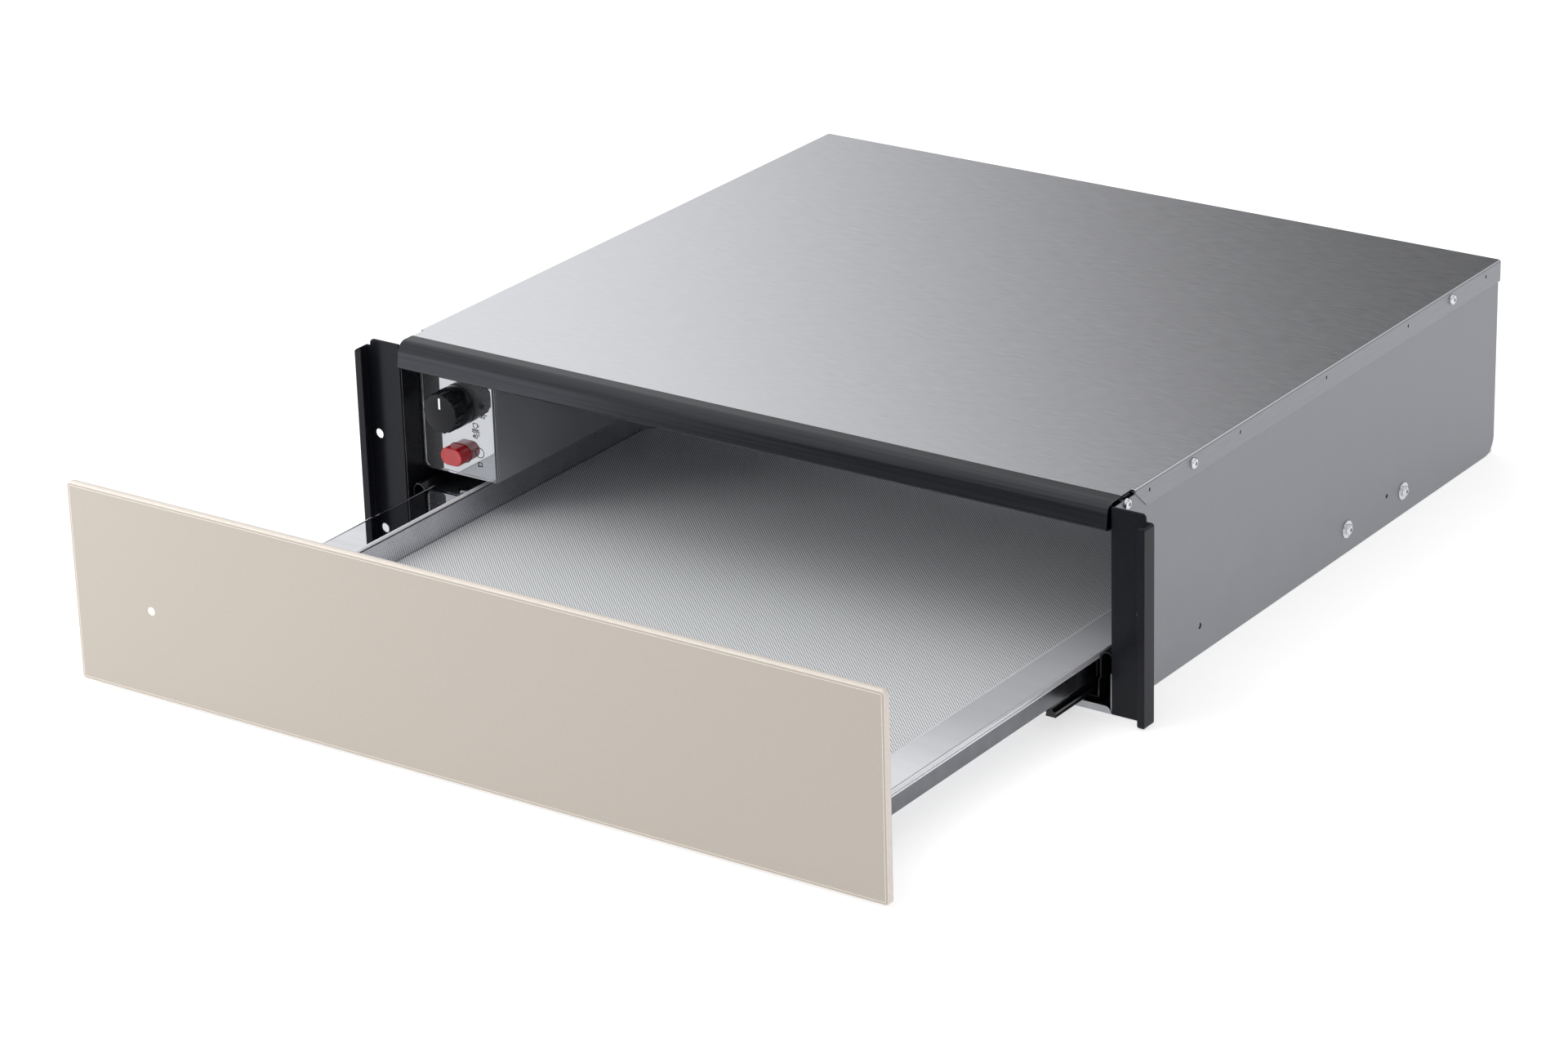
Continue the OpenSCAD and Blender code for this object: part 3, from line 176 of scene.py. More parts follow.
# Silicone-coated glass-fibre mat: round knots where the yarns cross. The real pitch of about 1.3 mm is
# drawn as 2 mm, so that the knots show.
weave = {"pitch": 2.0, "dark": "#85868B", "light": "#FCFDFF", "roughness": 0.5, "bump": 0.35, "height": 0.3}


def wovenMat():
    shader = {"Metallic": 0.0, "IOR": 1.41, "Roughness": weave["roughness"]}
    material, tree, principled = newMaterial("siliconeWovenMat", shader)
    pitch = weave["pitch"] * mm
    place = objectPlace(tree, (2 * math.pi / pitch,) * 3)
    axes = addNode(tree, "ShaderNodeSeparateXYZ", links={"Vector": place})
    across = addNode(tree, "ShaderNodeMath", {"operation": "COSINE"}, {0: axes.outputs["X"]})
    along = addNode(tree, "ShaderNodeMath", {"operation": "COSINE"}, {0: axes.outputs["Y"]})
    both = addNode(tree, "ShaderNodeMath", {"operation": "MULTIPLY"}, {0: across.outputs[0], 1: along.outputs[0]})
    knots = addNode(tree, "ShaderNodeMath", {"operation": "MULTIPLY_ADD"}, {0: both.outputs[0]}, {1: 0.5, 2: 0.5})
    tintBetween(tree, principled, knots.outputs[0], weave["dark"], weave["light"])
    softEdges(tree, principled, surface["finishEdge"], knots.outputs[0], weave["bump"], weave["height"])
    return material


# Finishes: name, dark and light tint, then roughness and pattern
coverSteel = brushedSteel("brushedStainlessCover", "#D4D5DA", "#E0E1E6", 0.19, 0.25)
# The cover's side lips take this darker copy of the cover steel: painted shade on the faces that look sideways
shadedFoldSteel = brushedSteel("brushedStainlessFoldPaintedShade", "#86878C", "#929398", 0.34, 0.42, (1.3, 0.07, 1.3), 2.0)
housingSteel = platedSteel("satinStainlessHousing", "#C2C3C8", "#CBCCD1", 0.40, 0.85, 40.0)
sideSteel = platedSteel("skinPassedSteelSides", "#87888D", "#8F9095", 0.46, 0.75)
zincSteel = platedSteel("zincPlatedSteel", "#9FA1A6", "#B6B8BC", 0.34, 1.0, 12.0)
blackLacquer = bakedLacquer("bakedBlackLacquer", "#16171C", "#1A1B20", 0.24, shine=0.16)
railLacquer = bakedLacquer("glossyBlackSlideLacquer", "#0D0E11", "#131417", 0.14, 3.0, 0.04)
trimAnodised = brushedSteel("anodisedAnthraciteTrim", "#3A3B3F", "#4C4D51", 0.26, 0.36, (0.004, 0.45, 0.45),
                            7.0, 0.10)
trayMirror = polishedSteel("mirrorPolishedStainless", "#D2D4D8", "#DEE0E4", 0.02, 0.04)
# The right ledge's copy of the ledge steel: satin, with a paler, less metallic tint that is painted light
traySatinLit = polishedSteel("satinPolishedStainlessPaintedLight", "#F6F7FC", "#FAFBFF", 0.23, 0.26, bump=0.005, metallic=0.56)
trayWall = polishedSteel("drawnStainlessWall", "#CBCCD1", "#D6D7DC", 0.06, 0.10, bump=0.008)
# A pale, barely metallic copy of the tray steel along the inner rim: painted highlight
trayRimHighlight = polishedSteel("paintedHighlightRolledRim", "#ECEDF1", "#F2F3F6", 0.30, 0.36, bump=0.004, metallic=0.3)
# A dark grey copy of the tray steel on the hems below the ledge: painted shade
trayHemShaded = polishedSteel("rolledStainlessHemPaintedShade", "#64656A", "#6F7075", 0.20, 0.26, bump=0.01)
frontGlass = etchedGlass("etchedGlassLacqueredBehind", "#AAA299", "#ACA49B", 0.45)
glassEdge = etchedGlass("groundGlassEdge", "#D2C9BF", "#D9D1C8", 0.35)
matWeave = wovenMat()
faceGloss = polishedSteel("metallisedAbsFace", "#B5B7BB", "#BDBFC3", 0.02, 0.04, (40, 40, 40), 0.01, 0.86)
blackPlastic = mouldedPlastic("blackGrainedAbs", "#18191B", "#202124", 0.34)
zincScrew = platedSteel("zincPlatedScrews", "#CBCDD2", "#DEE0E4", 0.20, 1.0, 3.0, 0.1)
blackScrew = bakedLacquer("blackenedScrews", "#16171C", "#1A1B20", 0.24, shine=0.16)
knobPlastic = mouldedPlastic("blackSemiGlossAbs", "#121316", "#17181B", 0.16, 0.8, 0.03,
                             {"Specular IOR Level": 0.2})
redPlastic = mouldedPlastic("redTranslucentPolycarbonate", "#A00D17", "#B0141E", 0.10, 4.0, 0.01,
                            {"Coat Weight": 0.6, "Coat Roughness": 0.05})
inkBlack = mouldedPlastic("screenPrintedInk", "#101113", "#16171A", 0.45, 1.0, 0.02)
whiteInlay = mouldedPlastic("whiteInlay", "#E6E7EA", "#F0F1F3", 0.35, 1.0, 0.02)
whitePlastic = mouldedPlastic("whitePolyamide", "#D8D7D0", "#E2E1DB", 0.4)
guidePlastic = mouldedPlastic("frostedLightGuideAcrylic", "#DDD6CC", "#E6DFD6", 0.25, 4.0, 0.01)
sleeveRubber = mouldedPlastic("siliconeSleeve", "#C9C8C2", "#D6D5CF", 0.5)
brassTurned = brushedSteel("turnedBrass", "#A98A4C", "#C3A464", 0.2, 0.3, (0.9, 0.9, 0.9))
copperWire = platedSteel("enamelledCopper", "#9A5B33", "#B0703F", 0.35, 1.0, 6.0)
heaterTube = platedSteel("heatTintedSteelTube", "#5E5752", "#7A6F66", 0.35, 1.0, 9.0)
mineralWool = mouldedPlastic("pressedMineralWool", "#B7A35F", "#D9C98A", 0.9, 2.5, 0.6)

# Nodes whose solids stay as they are
dressing = {
    housingSteel: "inner_ceiling air_duct",
    zincSteel: "fan_scroll thermal_cutout thermostat_body panel_backing left_panel_bracket right_panel_bracket "
               "latch_striker latch_hook left_lower_ball_cage right_lower_ball_cage left_upper_ball_cage "
               "right_upper_ball_cage",
    blackPlastic: "switch_body cable_gland latch_housing fan_impeller",
    whitePlastic: "terminal_block",
    sleeveRubber: "wiring_harness",
    brassTurned: "thermostat_shaft",
    copperWire: "fan_motor",
    heaterTube: "heater_element",
}
for material, names in dressing.items():
    for name in names.split():
        solid = nodes[name]
        if not solid.material_slots:
            solid.data.materials.append(None)
        for slot in solid.material_slots:
            slot.link = "OBJECT"
            slot.material = material
print("materials set")


# Pieces

def newObject(name, data):
    made = bpy.data.objects.new(name, data)
    bpy.context.scene.collection.objects.link(made)
    return made


# The mesh that a carrier object shows. The carrier itself goes away again.
def meshShown(carrier):
    bpy.context.view_layer.update()
    mesh = bpy.data.meshes.new_from_object(carrier.evaluated_get(bpy.context.evaluated_depsgraph_get()))
    bpy.data.objects.remove(carrier)
    return mesh


def addPiece(name, mesh, body, materials, replaced):
    piece = newObject(name, mesh)
    for number, material in enumerate(materials):
        if number < len(mesh.materials):
            mesh.materials[number] = material
        else:
            mesh.materials.append(material)
    if replaced:
        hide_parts(*replaced)
    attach(piece, body)
    return piece


def meshFrom(name, verts, faces, angle=32):
    mesh = bpy.data.meshes.new(name)
    mesh.from_pydata([tuple(c * mm for c in v) for v in verts], [], faces)
    tool = bmesh.new()
    tool.from_mesh(mesh)
    bmesh.ops.recalc_face_normals(tool, faces=tool.faces)
    tool.to_mesh(mesh)
    tool.free()
    mesh.shade_smooth()
    mesh.set_sharp_from_angle(angle=math.radians(angle))
    return mesh


# Skin over rings of equal length. Rings run from one end to the other, and caps close the ends.
def skinRings(rings, capStart=True, capEnd=True, closed=True):
    verts = [p for ring in rings for p in ring]
    n = len(rings[0])
    faces = []
    for r in range(len(rings) - 1):
        for i in range(n if closed else n - 1):
            j = (i + 1) % n
            faces.append((r * n + i, r * n + j, (r + 1) * n + j, (r + 1) * n + i))
    if capStart:
        faces.append(tuple(reversed(range(n))))
    if capEnd:
        faces.append(tuple(range((len(rings) - 1) * n, len(rings) * n)))
    return verts, faces


def roundedRing(x0, x1, y0, y1, r, steps):
    points = []
    for cx, cy, start in ((x1 - r, y1 - r, 0), (x0 + r, y1 - r, 90), (x0 + r, y0 + r, 180), (x1 - r, y0 + r, 270)):
        for k in range(steps + 1):
            a = math.radians(start + 90 * k / steps)
            points.append((cx + r * math.cos(a), cy + r * math.sin(a)))
    return points


# Broken corners and flat faces: lengths in mm, angles in degrees
corners = {"merge": 0.005, "flatWithin": 0.5, "sharpFrom": 35, "smallLoop": 9, "facingX": 0.8, "segments": 2,
           "flatWeight": 100}


# Wide faces stay flat between their rounded edges
def flatFaces(piece):
    weighted = piece.modifiers.new("flatFaces", "WEIGHTED_NORMAL")
    weighted.weight, weighted.keep_sharp = corners["flatWeight"], True


# A folded or turned solid keeps its shape from the frame, with its sharp corners broken as on the real part.
# Small loops, such as the rims of holes, stay crisp. Faces that look one of the given ways along X take the
# second material.
def brokenCorners(name, node, body, material, radius, second=None, ways=()):
    mesh = bpy.data.meshes.new(name)
    tool = bmesh.new()
    tool.from_mesh(nodes[node].data)
    bmesh.ops.remove_doubles(tool, verts=tool.verts, dist=corners["merge"] * mm)
    bmesh.ops.dissolve_limit(tool, angle_limit=math.radians(corners["flatWithin"]), verts=tool.verts,
                             edges=tool.edges)
    weight = tool.edges.layers.float.new("bevel_weight_edge")
    sharpFrom = math.radians(corners["sharpFrom"])
    sharp = {e for e in tool.edges if len(e.link_faces) == 2 and e.calc_face_angle(0) > sharpFrom}
    while sharp:
        loop, waiting = [], [sharp.pop()]
        while waiting:
            edge = waiting.pop()
            loop.append(edge)
            for vert in edge.verts:
                for other in vert.link_edges:
                    if other in sharp:
                        sharp.discard(other)
                        waiting.append(other)
        ends = [v.co for e in loop for v in e.verts]
        spread = max(max(c[i] for c in ends) - min(c[i] for c in ends) for i in range(3))
        if spread > corners["smallLoop"] * mm:
            for edge in loop:
                edge[weight] = 1.0
    for face in tool.faces:
        face.material_index = 1 if any(face.normal.x * way > corners["facingX"] for way in ways) else 0
    tool.to_mesh(mesh)
    tool.free()
    mesh.shade_smooth()
    piece = addPiece(name, mesh, body, [material] + ([second] if second else []), [node])
    bevel = piece.modifiers.new("brokenCorner", "BEVEL")
    bevel.width, bevel.segments = radius * mm, corners["segments"]
    bevel.limit_method = "WEIGHT"
    flatFaces(piece)


# Piece, node, finish, radius of the broken corners in mm, slot, second finish and the ways that it faces
sheetPieces = [
    # The cover's lips that look along X take the darker fold steel: painted shade
    ("coverSheet", "top_cover", coverSteel, 0.3, "casing_steel", shadedFoldSteel, (-1, 1)),
    # The side sheets' faces that look into the chassis take the black lacquer: painted shade inside the chassis
    ("leftSideSheet", "left_side_panel", sideSteel, 0.25, "casing_steel", blackLacquer, (1,)),
    ("rightSideSheet", "right_side_panel", sideSteel, 0.25, "casing_steel", blackLacquer, (-1,)),
    ("basePlate", "bottom_plate", zincSteel, 0.25, "zinc_plated_steel", None, ()),
    ("backPlate", "back_panel", zincSteel, 0.2, "zinc_plated_steel", None, ()),
    ("trimProfile", "front_trim", trimAnodised, 0.4, "anthracite_trim", None, ()),
    ("leftFlange", "left_mounting_flange", blackLacquer, 0.35, "black_lacquer", None, ()),
    ("rightFlange", "right_mounting_flange", blackLacquer, 0.35, "black_lacquer", None, ()),
    ("leftCabinetRail", "left_cabinet_rail", railLacquer, 0.3, "black_lacquer", None, ()),
    ("rightCabinetRail", "right_cabinet_rail", railLacquer, 0.3, "black_lacquer", None, ()),
    ("housingSheet", "control_housing", housingSteel, 0.25, "casing_steel", None, ()),
    ("housingBezel", "control_bezel", faceGloss, 0.25, "control_gloss", None, ()),
    ("facePlate", "control_face", faceGloss, 0.22, "control_gloss", None, ()),
]
for name, node, material, radius, slotName, second, ways in sheetPieces:
    brokenCorners(name, node, "chassis", material, radius, second, ways)
for side in ("left", "right"):
    brokenCorners(side + "MiddleRail", side + "_middle_rail", side + "_middle", railLacquer, 0.3)
    brokenCorners(side + "DrawerRail", side + "_drawer_rail", "drawer", zincSteel, 0.2)
print("sheet metal done")

# Tray: one drawn sheet with a rounded inner rim, rounded floor corners and rolled hems along both sides
tray = {
    "half": 227.0, "front": 5.9, "back": 483.0, "corner": 14.0, "rimBend": 2.6, "floorBend": 1.4,
    "ledge": 35.3, "floor": 13.8, "ledgeHalf": 256.7, "ledgeFront": -11.2, "ledgeBack": 490.0, "sheet": 0.7,
    "steps": 7, "bendSteps": 6, "square": 0.05, "sharpFrom": 50, "looksDown": -0.2,
    # Where its finishes part: height of the hem's lip, depth of the painted highlight along the inner rim and width of
    # the hem
    "lip": 32.6, "rimHighlightDepth": 1.5, "hemZone": 3.0, "flush": 0.01,
    # Section of the hem: how far in from the outermost point, and height
    "hem": [(2.6, 35.3), (1.1, 35.3), (0.6, 35.15), (0.42, 34.85), (0.66, 34.5), (0.5, 34.3), (0.14, 34.0),
            (0.0, 33.6), (0.0, 33.1), (0.14, 32.7), (0.4, 32.4), (0.4, 21.7), (0.75, 21.25), (1.3, 21.2)],
}


def trayRing(grow, z, steps):
    ring = roundedRing(-tray["half"] - grow, tray["half"] + grow, tray["front"] - grow, tray["back"] + grow,
                       tray["corner"] + grow, steps)
    return [(x, y + drawerY, z) for x, y in ring]


def trayShell():
    steps, ledge, floor = tray["steps"], tray["ledge"], tray["floor"]
    rimBend, floorBend, bendSteps = tray["rimBend"], tray["floorBend"], tray["bendSteps"]
    hemStart = tray["hem"][0][0]
    outer = roundedRing(hemStart - tray["ledgeHalf"], tray["ledgeHalf"] - hemStart, tray["ledgeFront"],
                        tray["ledgeBack"], tray["square"], steps)
    rings = [[(x, y + drawerY, ledge) for x, y in outer], trayRing(rimBend, ledge, steps)]
    for k in range(1, bendSteps + 1):
        a = math.radians(90 * k / bendSteps)
        rings.append(trayRing(rimBend * (1 - math.sin(a)), ledge - rimBend * (1 - math.cos(a)), steps))
    for k in range(bendSteps + 1):
        a = math.radians(90 * k / bendSteps)
        rings.append(trayRing(-floorBend * (1 - math.cos(a)), floor + floorBend * (1 - math.sin(a)), steps))
    verts, faces = skinRings(rings, capStart=False)
    for side in (-1, 1):
        strip = [[(side * (tray["ledgeHalf"] - inset), y + drawerY, z) for inset, z in tray["hem"]]
                 for y in (tray["ledgeFront"], tray["ledgeBack"])]
        hemVerts, hemFaces = skinRings(strip, False, False, False)
        if side > 0:
            hemFaces = [tuple(reversed(f)) for f in hemFaces]
        faces += [tuple(i + len(verts) for i in face) for face in hemFaces]
        verts += hemVerts
    mesh = bpy.data.meshes.new("trayShell")
    mesh.from_pydata([tuple(c * mm for c in v) for v in verts], [], faces)
    tool = bmesh.new()
    tool.from_mesh(mesh)
    finishes = [trayMirror, traySatinLit, trayWall, trayHemShaded, trayRimHighlight]
    for face in tool.faces:
        middle = face.calc_center_median() / mm
        outside = abs(middle.x) > tray["ledgeHalf"] - tray["hemZone"]
        if outside and middle.z < tray["lip"]:
            finish = trayHemShaded
        elif not outside and ledge - tray["rimHighlightDepth"] < middle.z < ledge - tray["flush"]:
            finish = trayRimHighlight
        elif middle.z > (tray["lip"] if outside else ledge - tray["flush"]):
            # The right ledge takes the satin copy, whose paler tint is painted light
            finish = traySatinLit if middle.x > tray["half"] else trayMirror
        else:
            finish = trayWall
        face.material_index = finishes.index(finish)
        if face.normal.z < tray["looksDown"] or (finish == trayMirror and face.normal.z < 0):
            face.normal_flip()
    tool.to_mesh(mesh)
    tool.free()
    mesh.shade_smooth()
    mesh.set_sharp_from_angle(angle=math.radians(tray["sharpFrom"]))
    shell = addPiece("trayShell", mesh, "drawer", finishes, ["tray"])
    wall = shell.modifiers.new("sheet", "SOLIDIFY")
    wall.thickness, wall.offset = tray["sheet"] * mm, -1
    flatFaces(shell)


trayShell()


# Upstand: the tray's front end, folded up behind the glass
upstand = {"half": 219.0, "foot": 35.0, "top": 61.3, "front": -11.3, "back": -10.5, "edge": 0.2, "corner": 0.3,
           "steps": 3}
upstandRings = []
for z, inset in ((upstand["foot"], upstand["edge"]), (upstand["foot"] + upstand["edge"], 0),
                 (upstand["top"] - upstand["edge"], 0), (upstand["top"], upstand["edge"])):
    ring = roundedRing(inset - upstand["half"], upstand["half"] - inset, drawerY + upstand["front"] + inset,
                       drawerY + upstand["back"] - inset, upstand["corner"], upstand["steps"])
    upstandRings.append([(x, y, z) for x, y in ring])
upstandMesh = meshFrom("trayUpstand", *skinRings(upstandRings))
addPiece("trayUpstand", upstandMesh, "drawer", [trayWall], ())

# Mat: cut round the tray's corners, its rim pressed thin
mat = {
    "gap": 0.4, "under": 13.9, "top": 15.3,
    # Its rim: how far in, and how far up from its underside or down from its top
    "foot": [(0.15, 0.0), (0.0, 0.3)],
    "rim": [(0.05, 0.45), (0.3, 0.12), (0.9, 0.0), (2.5, 0.0)],
}
matRings = [trayRing(-mat["gap"] - inset, mat["under"] + rise, tray["steps"]) for inset, rise in mat["foot"]]
matRings += [trayRing(-mat["gap"] - inset, mat["top"] - drop, tray["steps"]) for inset, drop in mat["rim"]]
matMesh = meshFrom("wovenMat", *skinRings(matRings))
addPiece("wovenMat", matMesh, "drawer", [matWeave], ["anti_slip_mat"])

# Glass: ground bevel in three facets, a fine bright line inside it, then the lacquered plate
glass = {
    "half": 298.0, "low": 2.2, "high": 133.2, "front": -17.4, "back": -12.4, "corner": 3.0,
    "steps": 7, "backEdge": 0.4, "sharpFrom": 50,
    # How far in and how far behind the front
    "bevel": [(0.0, 0.9), (0.25, 0.45), (0.8, 0.16), (1.5, 0.0), (1.95, 0.0), (2.35, 0.0)],
    "line": (1.95, 2.35), "facingY": 0.97, "lineDepth": 0.1, "backZone": 0.5,
}


def glassRing(inset, y):
    ring = roundedRing(inset - glass["half"], glass["half"] - inset, glass["low"] + inset, glass["high"] - inset,
                       glass["corner"] - inset, glass["steps"])
    return [(x, y + drawerY, z) for x, z in ring]


glassRings = [glassRing(glass["backEdge"], glass["back"]), glassRing(0.0, glass["back"] - glass["backEdge"])]
glassRings += [glassRing(inset, glass["front"] + behind) for inset, behind in glass["bevel"]]
glassMesh = meshFrom("glassFront", *skinRings(glassRings), angle=glass["sharpFrom"])
addPiece("glassFront", glassMesh, "drawer", [frontGlass, glassEdge], ["glass_panel"])
for face in glassMesh.polygons:
    x, y, z = face.center / mm
    inset = min(glass["half"] - abs(x), z - glass["low"], glass["high"] - z)
    groundBevel = abs(face.normal.y) < glass["facingY"] and y < drawerY + glass["back"] - glass["backZone"]
    brightLine = y < drawerY + glass["front"] + glass["lineDepth"] and glass["line"][0] < inset < glass["line"][1]
    if groundBevel or brightLine:
        face.material_index = 1


# Turned shapes: rings round an axis along Y, from the front to the back
def turnedRings(cx, cz, sections, steps, wave=None):
    rings = []
    for y, radius, groove in sections:
        ring = []
        for i in range(steps):
            a = 2 * math.pi * i / steps
            r = radius - (groove * wave(a) if wave and groove else 0)
            ring.append((cx + r * math.cos(a), y, cz + r * math.sin(a)))
        rings.append(ring)
    return rings


lightGuide = {
    "x": -236.2, "z": 60.7, "r": 2.95, "front": -17.46, "steps": 48,
    "rim": [(0.0, 0.35), (0.1, 0.08), (0.3, 0.0)],            # how far behind the front, and how far in
    "shank": [(-11.3, 2.95), (-11.25, 4.4), (-9.5, 4.4), (-9.4, 4.2)],   # place and radius
}
guideSections = [(lightGuide["front"] + drawerY + d, lightGuide["r"] - inset, 0) for d, inset in lightGuide["rim"]]
guideSections += [(place + drawerY, radius, 0) for place, radius in lightGuide["shank"]]
guideRings = turnedRings(lightGuide["x"], lightGuide["z"], guideSections, lightGuide["steps"])
guideMesh = meshFrom("lightGuide", *skinRings(guideRings))
addPiece("lightGuide", guideMesh, "drawer", [guidePlastic], ["indicator_lens"])
print("drawer done")

# Knob: flat face with a broken rim, shallow flutes, then a plain collar
knob = {
    "x": -238.3, "z": 92.3, "front": flangeY + 1.15, "flutes": 18, "groove": 0.7,
    "steps": 216, "sharpFrom": 28, "rib": 0.11, "flank": 0.07,
    # How far behind the front, radius and how deep the flutes are there, as a share of the groove
    "sections": [(0.0, 12.9, 0), (0.12, 13.35, 0.3), (0.5, 13.72, 0.8), (1.0, 13.8, 1.0), (8.4, 13.8, 1.0),
                 (8.9, 13.8, 0.6), (9.2, 13.8, 0.0), (9.35, 13.9, 0), (9.6, 14.0, 0), (17.3, 14.0, 0),
                 (17.75, 13.85, 0), (17.9, 13.4, 0), (17.9, 3.2, 0), (8.0, 3.2, 0)],
}
pointer = {
    "width": 1.5, "length": 7.6, "centre": 6.9, "corner": 0.35, "steps": 4,
    # Its rings: how far behind the knob's front, and how far in
    "sections": [(0.2, 0), (-0.13, 0), (-0.18, 0.06)],
}


# Wide shallow flutes with narrow ribs left between them
def fluteWave(a):
    share = (a * knob["flutes"] / (2 * math.pi)) % 1.0
    return min(1.0, max(0.0, (min(share, 1 - share) - knob["rib"]) / knob["flank"]))


knobSections = [(knob["front"] + y, r, knob["groove"] * g) for y, r, g in knob["sections"]]
knobRings = turnedRings(knob["x"], knob["z"], knobSections, knob["steps"], fluteWave)
knobMesh = meshFrom("knobShell", *skinRings(knobRings), angle=knob["sharpFrom"])
addPiece("knobShell", knobMesh, "knob", [knobPlastic], ["temperature_knob"])
halfWidth, halfLength, centre = pointer["width"] / 2, pointer["length"] / 2, pointer["centre"]
pointerRings = []
for behind, inset in pointer["sections"]:
    ring = roundedRing(inset - halfWidth, halfWidth - inset, centre - halfLength + inset, centre + halfLength - inset,
                       pointer["corner"], pointer["steps"])
    pointerRings.append([(knob["x"] + u, knob["front"] + behind, knob["z"] + v) for u, v in ring])
addPiece("knobPointer", meshFrom("knobPointer", *skinRings(pointerRings)), "knob", [whiteInlay], ())

# Button: an oblong cap with a softened rim and a faint dish in its face
button = {"x": -238.3, "z": 58.9, "w": 18.0, "h": 12.0, "front": flangeY + 10.1, "back": flangeY + 27.5,
          "backEdge": 0.3, "steps": 14,
          # How far behind the front, and how far in
          "sections": [(0.22, 3.2), (0.1, 1.6), (0.0, 0.95), (0.05, 0.55), (0.3, 0.18), (0.8, 0.0)]}


def oblongRing(inset, y):
    reach, radius, steps = (button["w"] - button["h"]) / 2, button["h"] / 2 - inset, button["steps"]
    ring = []
    for side, start in ((1, -90), (-1, 90)):
        for k in range(steps + 1):
            a = math.radians(start + 180 * k / steps)
            ring.append((button["x"] + side * reach + radius * math.cos(a), y, button["z"] + radius * math.sin(a)))
    return ring


buttonRings = [oblongRing(inset, button["front"] + y) for y, inset in button["sections"]]
buttonRings += [oblongRing(0, button["back"] - button["backEdge"]), oblongRing(button["backEdge"], button["back"])]
buttonMesh = meshFrom("buttonCap", *skinRings(buttonRings))
addPiece("buttonCap", buttonMesh, "button", [redPlastic], ["power_button"])

# Marks printed beside the knob and the button: place on the face and size, all in mm
marks = {
    "plane": flangeY + 20.0, "proud": 0.05, "sunk": 0.15, "line": 0.55,
    "flake": (-218.3, 95.0, 2.3), "twigFoot": 0.55, "twigLength": 0.42, "twigTurn": 45, "twigLine": 0.8,
    "cup": (-224.5, 79.9, 2.6),
    "cupLines": [[(-0.72, 0.8), (-0.66, 0.0), (-0.4, -0.52), (0.3, -0.52), (0.6, 0.0), (0.66, 0.8), (-0.72, 0.8)],
                 [(0.66, 0.55), (1.0, 0.45), (1.0, 0.05), (0.6, 0.0)],
                 [(-1.1, -0.7), (-0.8, -0.92), (0.7, -0.92), (1.0, -0.7)]],
    "waves": (-224.4, 76.3, 3.0), "waveGap": 0.55, "waveHeight": 0.42, "waveSteps": 16,
    "waveStep": math.pi / 2.67, "waveLine": 0.9,
    "ring": (-222.0, 61.9, 3.4), "ringSteps": 48,
    "square": (-222.2, 53.8, 1.6),
    # Its left side stands on a foot, and its lines differ in weight
    "squareLines": [([(-0.8, -1.25), (-0.8, 1.0)], 1.5), ([(-0.8, 0.828125), (1.0, 0.828125)], 1.0),
                    ([(1.0, 1.0), (1.0, -0.8)], 1.0), ([(-0.8, -0.8), (1.171875, -0.8)], 1.3)],
    "letterSize": 4.416, "letterBolder": 0.06, "words": [("30°", -217.4, 88.0), ("40°", -224.2, 72.8)],
}


def strokeRing(points, width, closed=False):
    n, half = len(points), width / 2
    left, right = [], []
    for i, (x, z) in enumerate(points):
        before = points[i - 1] if closed or i else (x, z)
        after = points[(i + 1) % n] if closed or i < n - 1 else (x, z)
        dx, dz = after[0] - before[0], after[1] - before[1]
        size = math.hypot(dx, dz) or 1.0
        left.append((x - dz / size * half, z + dx / size * half))
        right.append((x + dz / size * half, z - dx / size * half))
    return left, right


def printStroke(verts, faces, points, width, closed=False):
    left, right = strokeRing(points, width, closed)
    n, start = len(points), len(verts)
    for y in (marks["plane"] - marks["proud"], marks["plane"] + marks["sunk"]):
        verts += [(x, y, z) for x, z in left] + [(x, y, z) for x, z in right]
    for i in range(n if closed else n - 1):
        j = (i + 1) % n
        for a, b, c, d in ((i, j, n + j, n + i), (2 * n + i, 3 * n + i, 3 * n + j, 2 * n + j),
                           (i, 2 * n + i, 2 * n + j, j), (n + i, n + j, 3 * n + j, 3 * n + i)):
            faces.append((start + a, start + b, start + c, start + d))
    if not closed:
        for i in (0, n - 1):
            faces.append((start + i, start + n + i, start + 3 * n + i, start + 2 * n + i))


def onFace(mark, points):
    cx, cz, r = mark
    return [(cx + r * u, cz + r * v) for u, v in points]


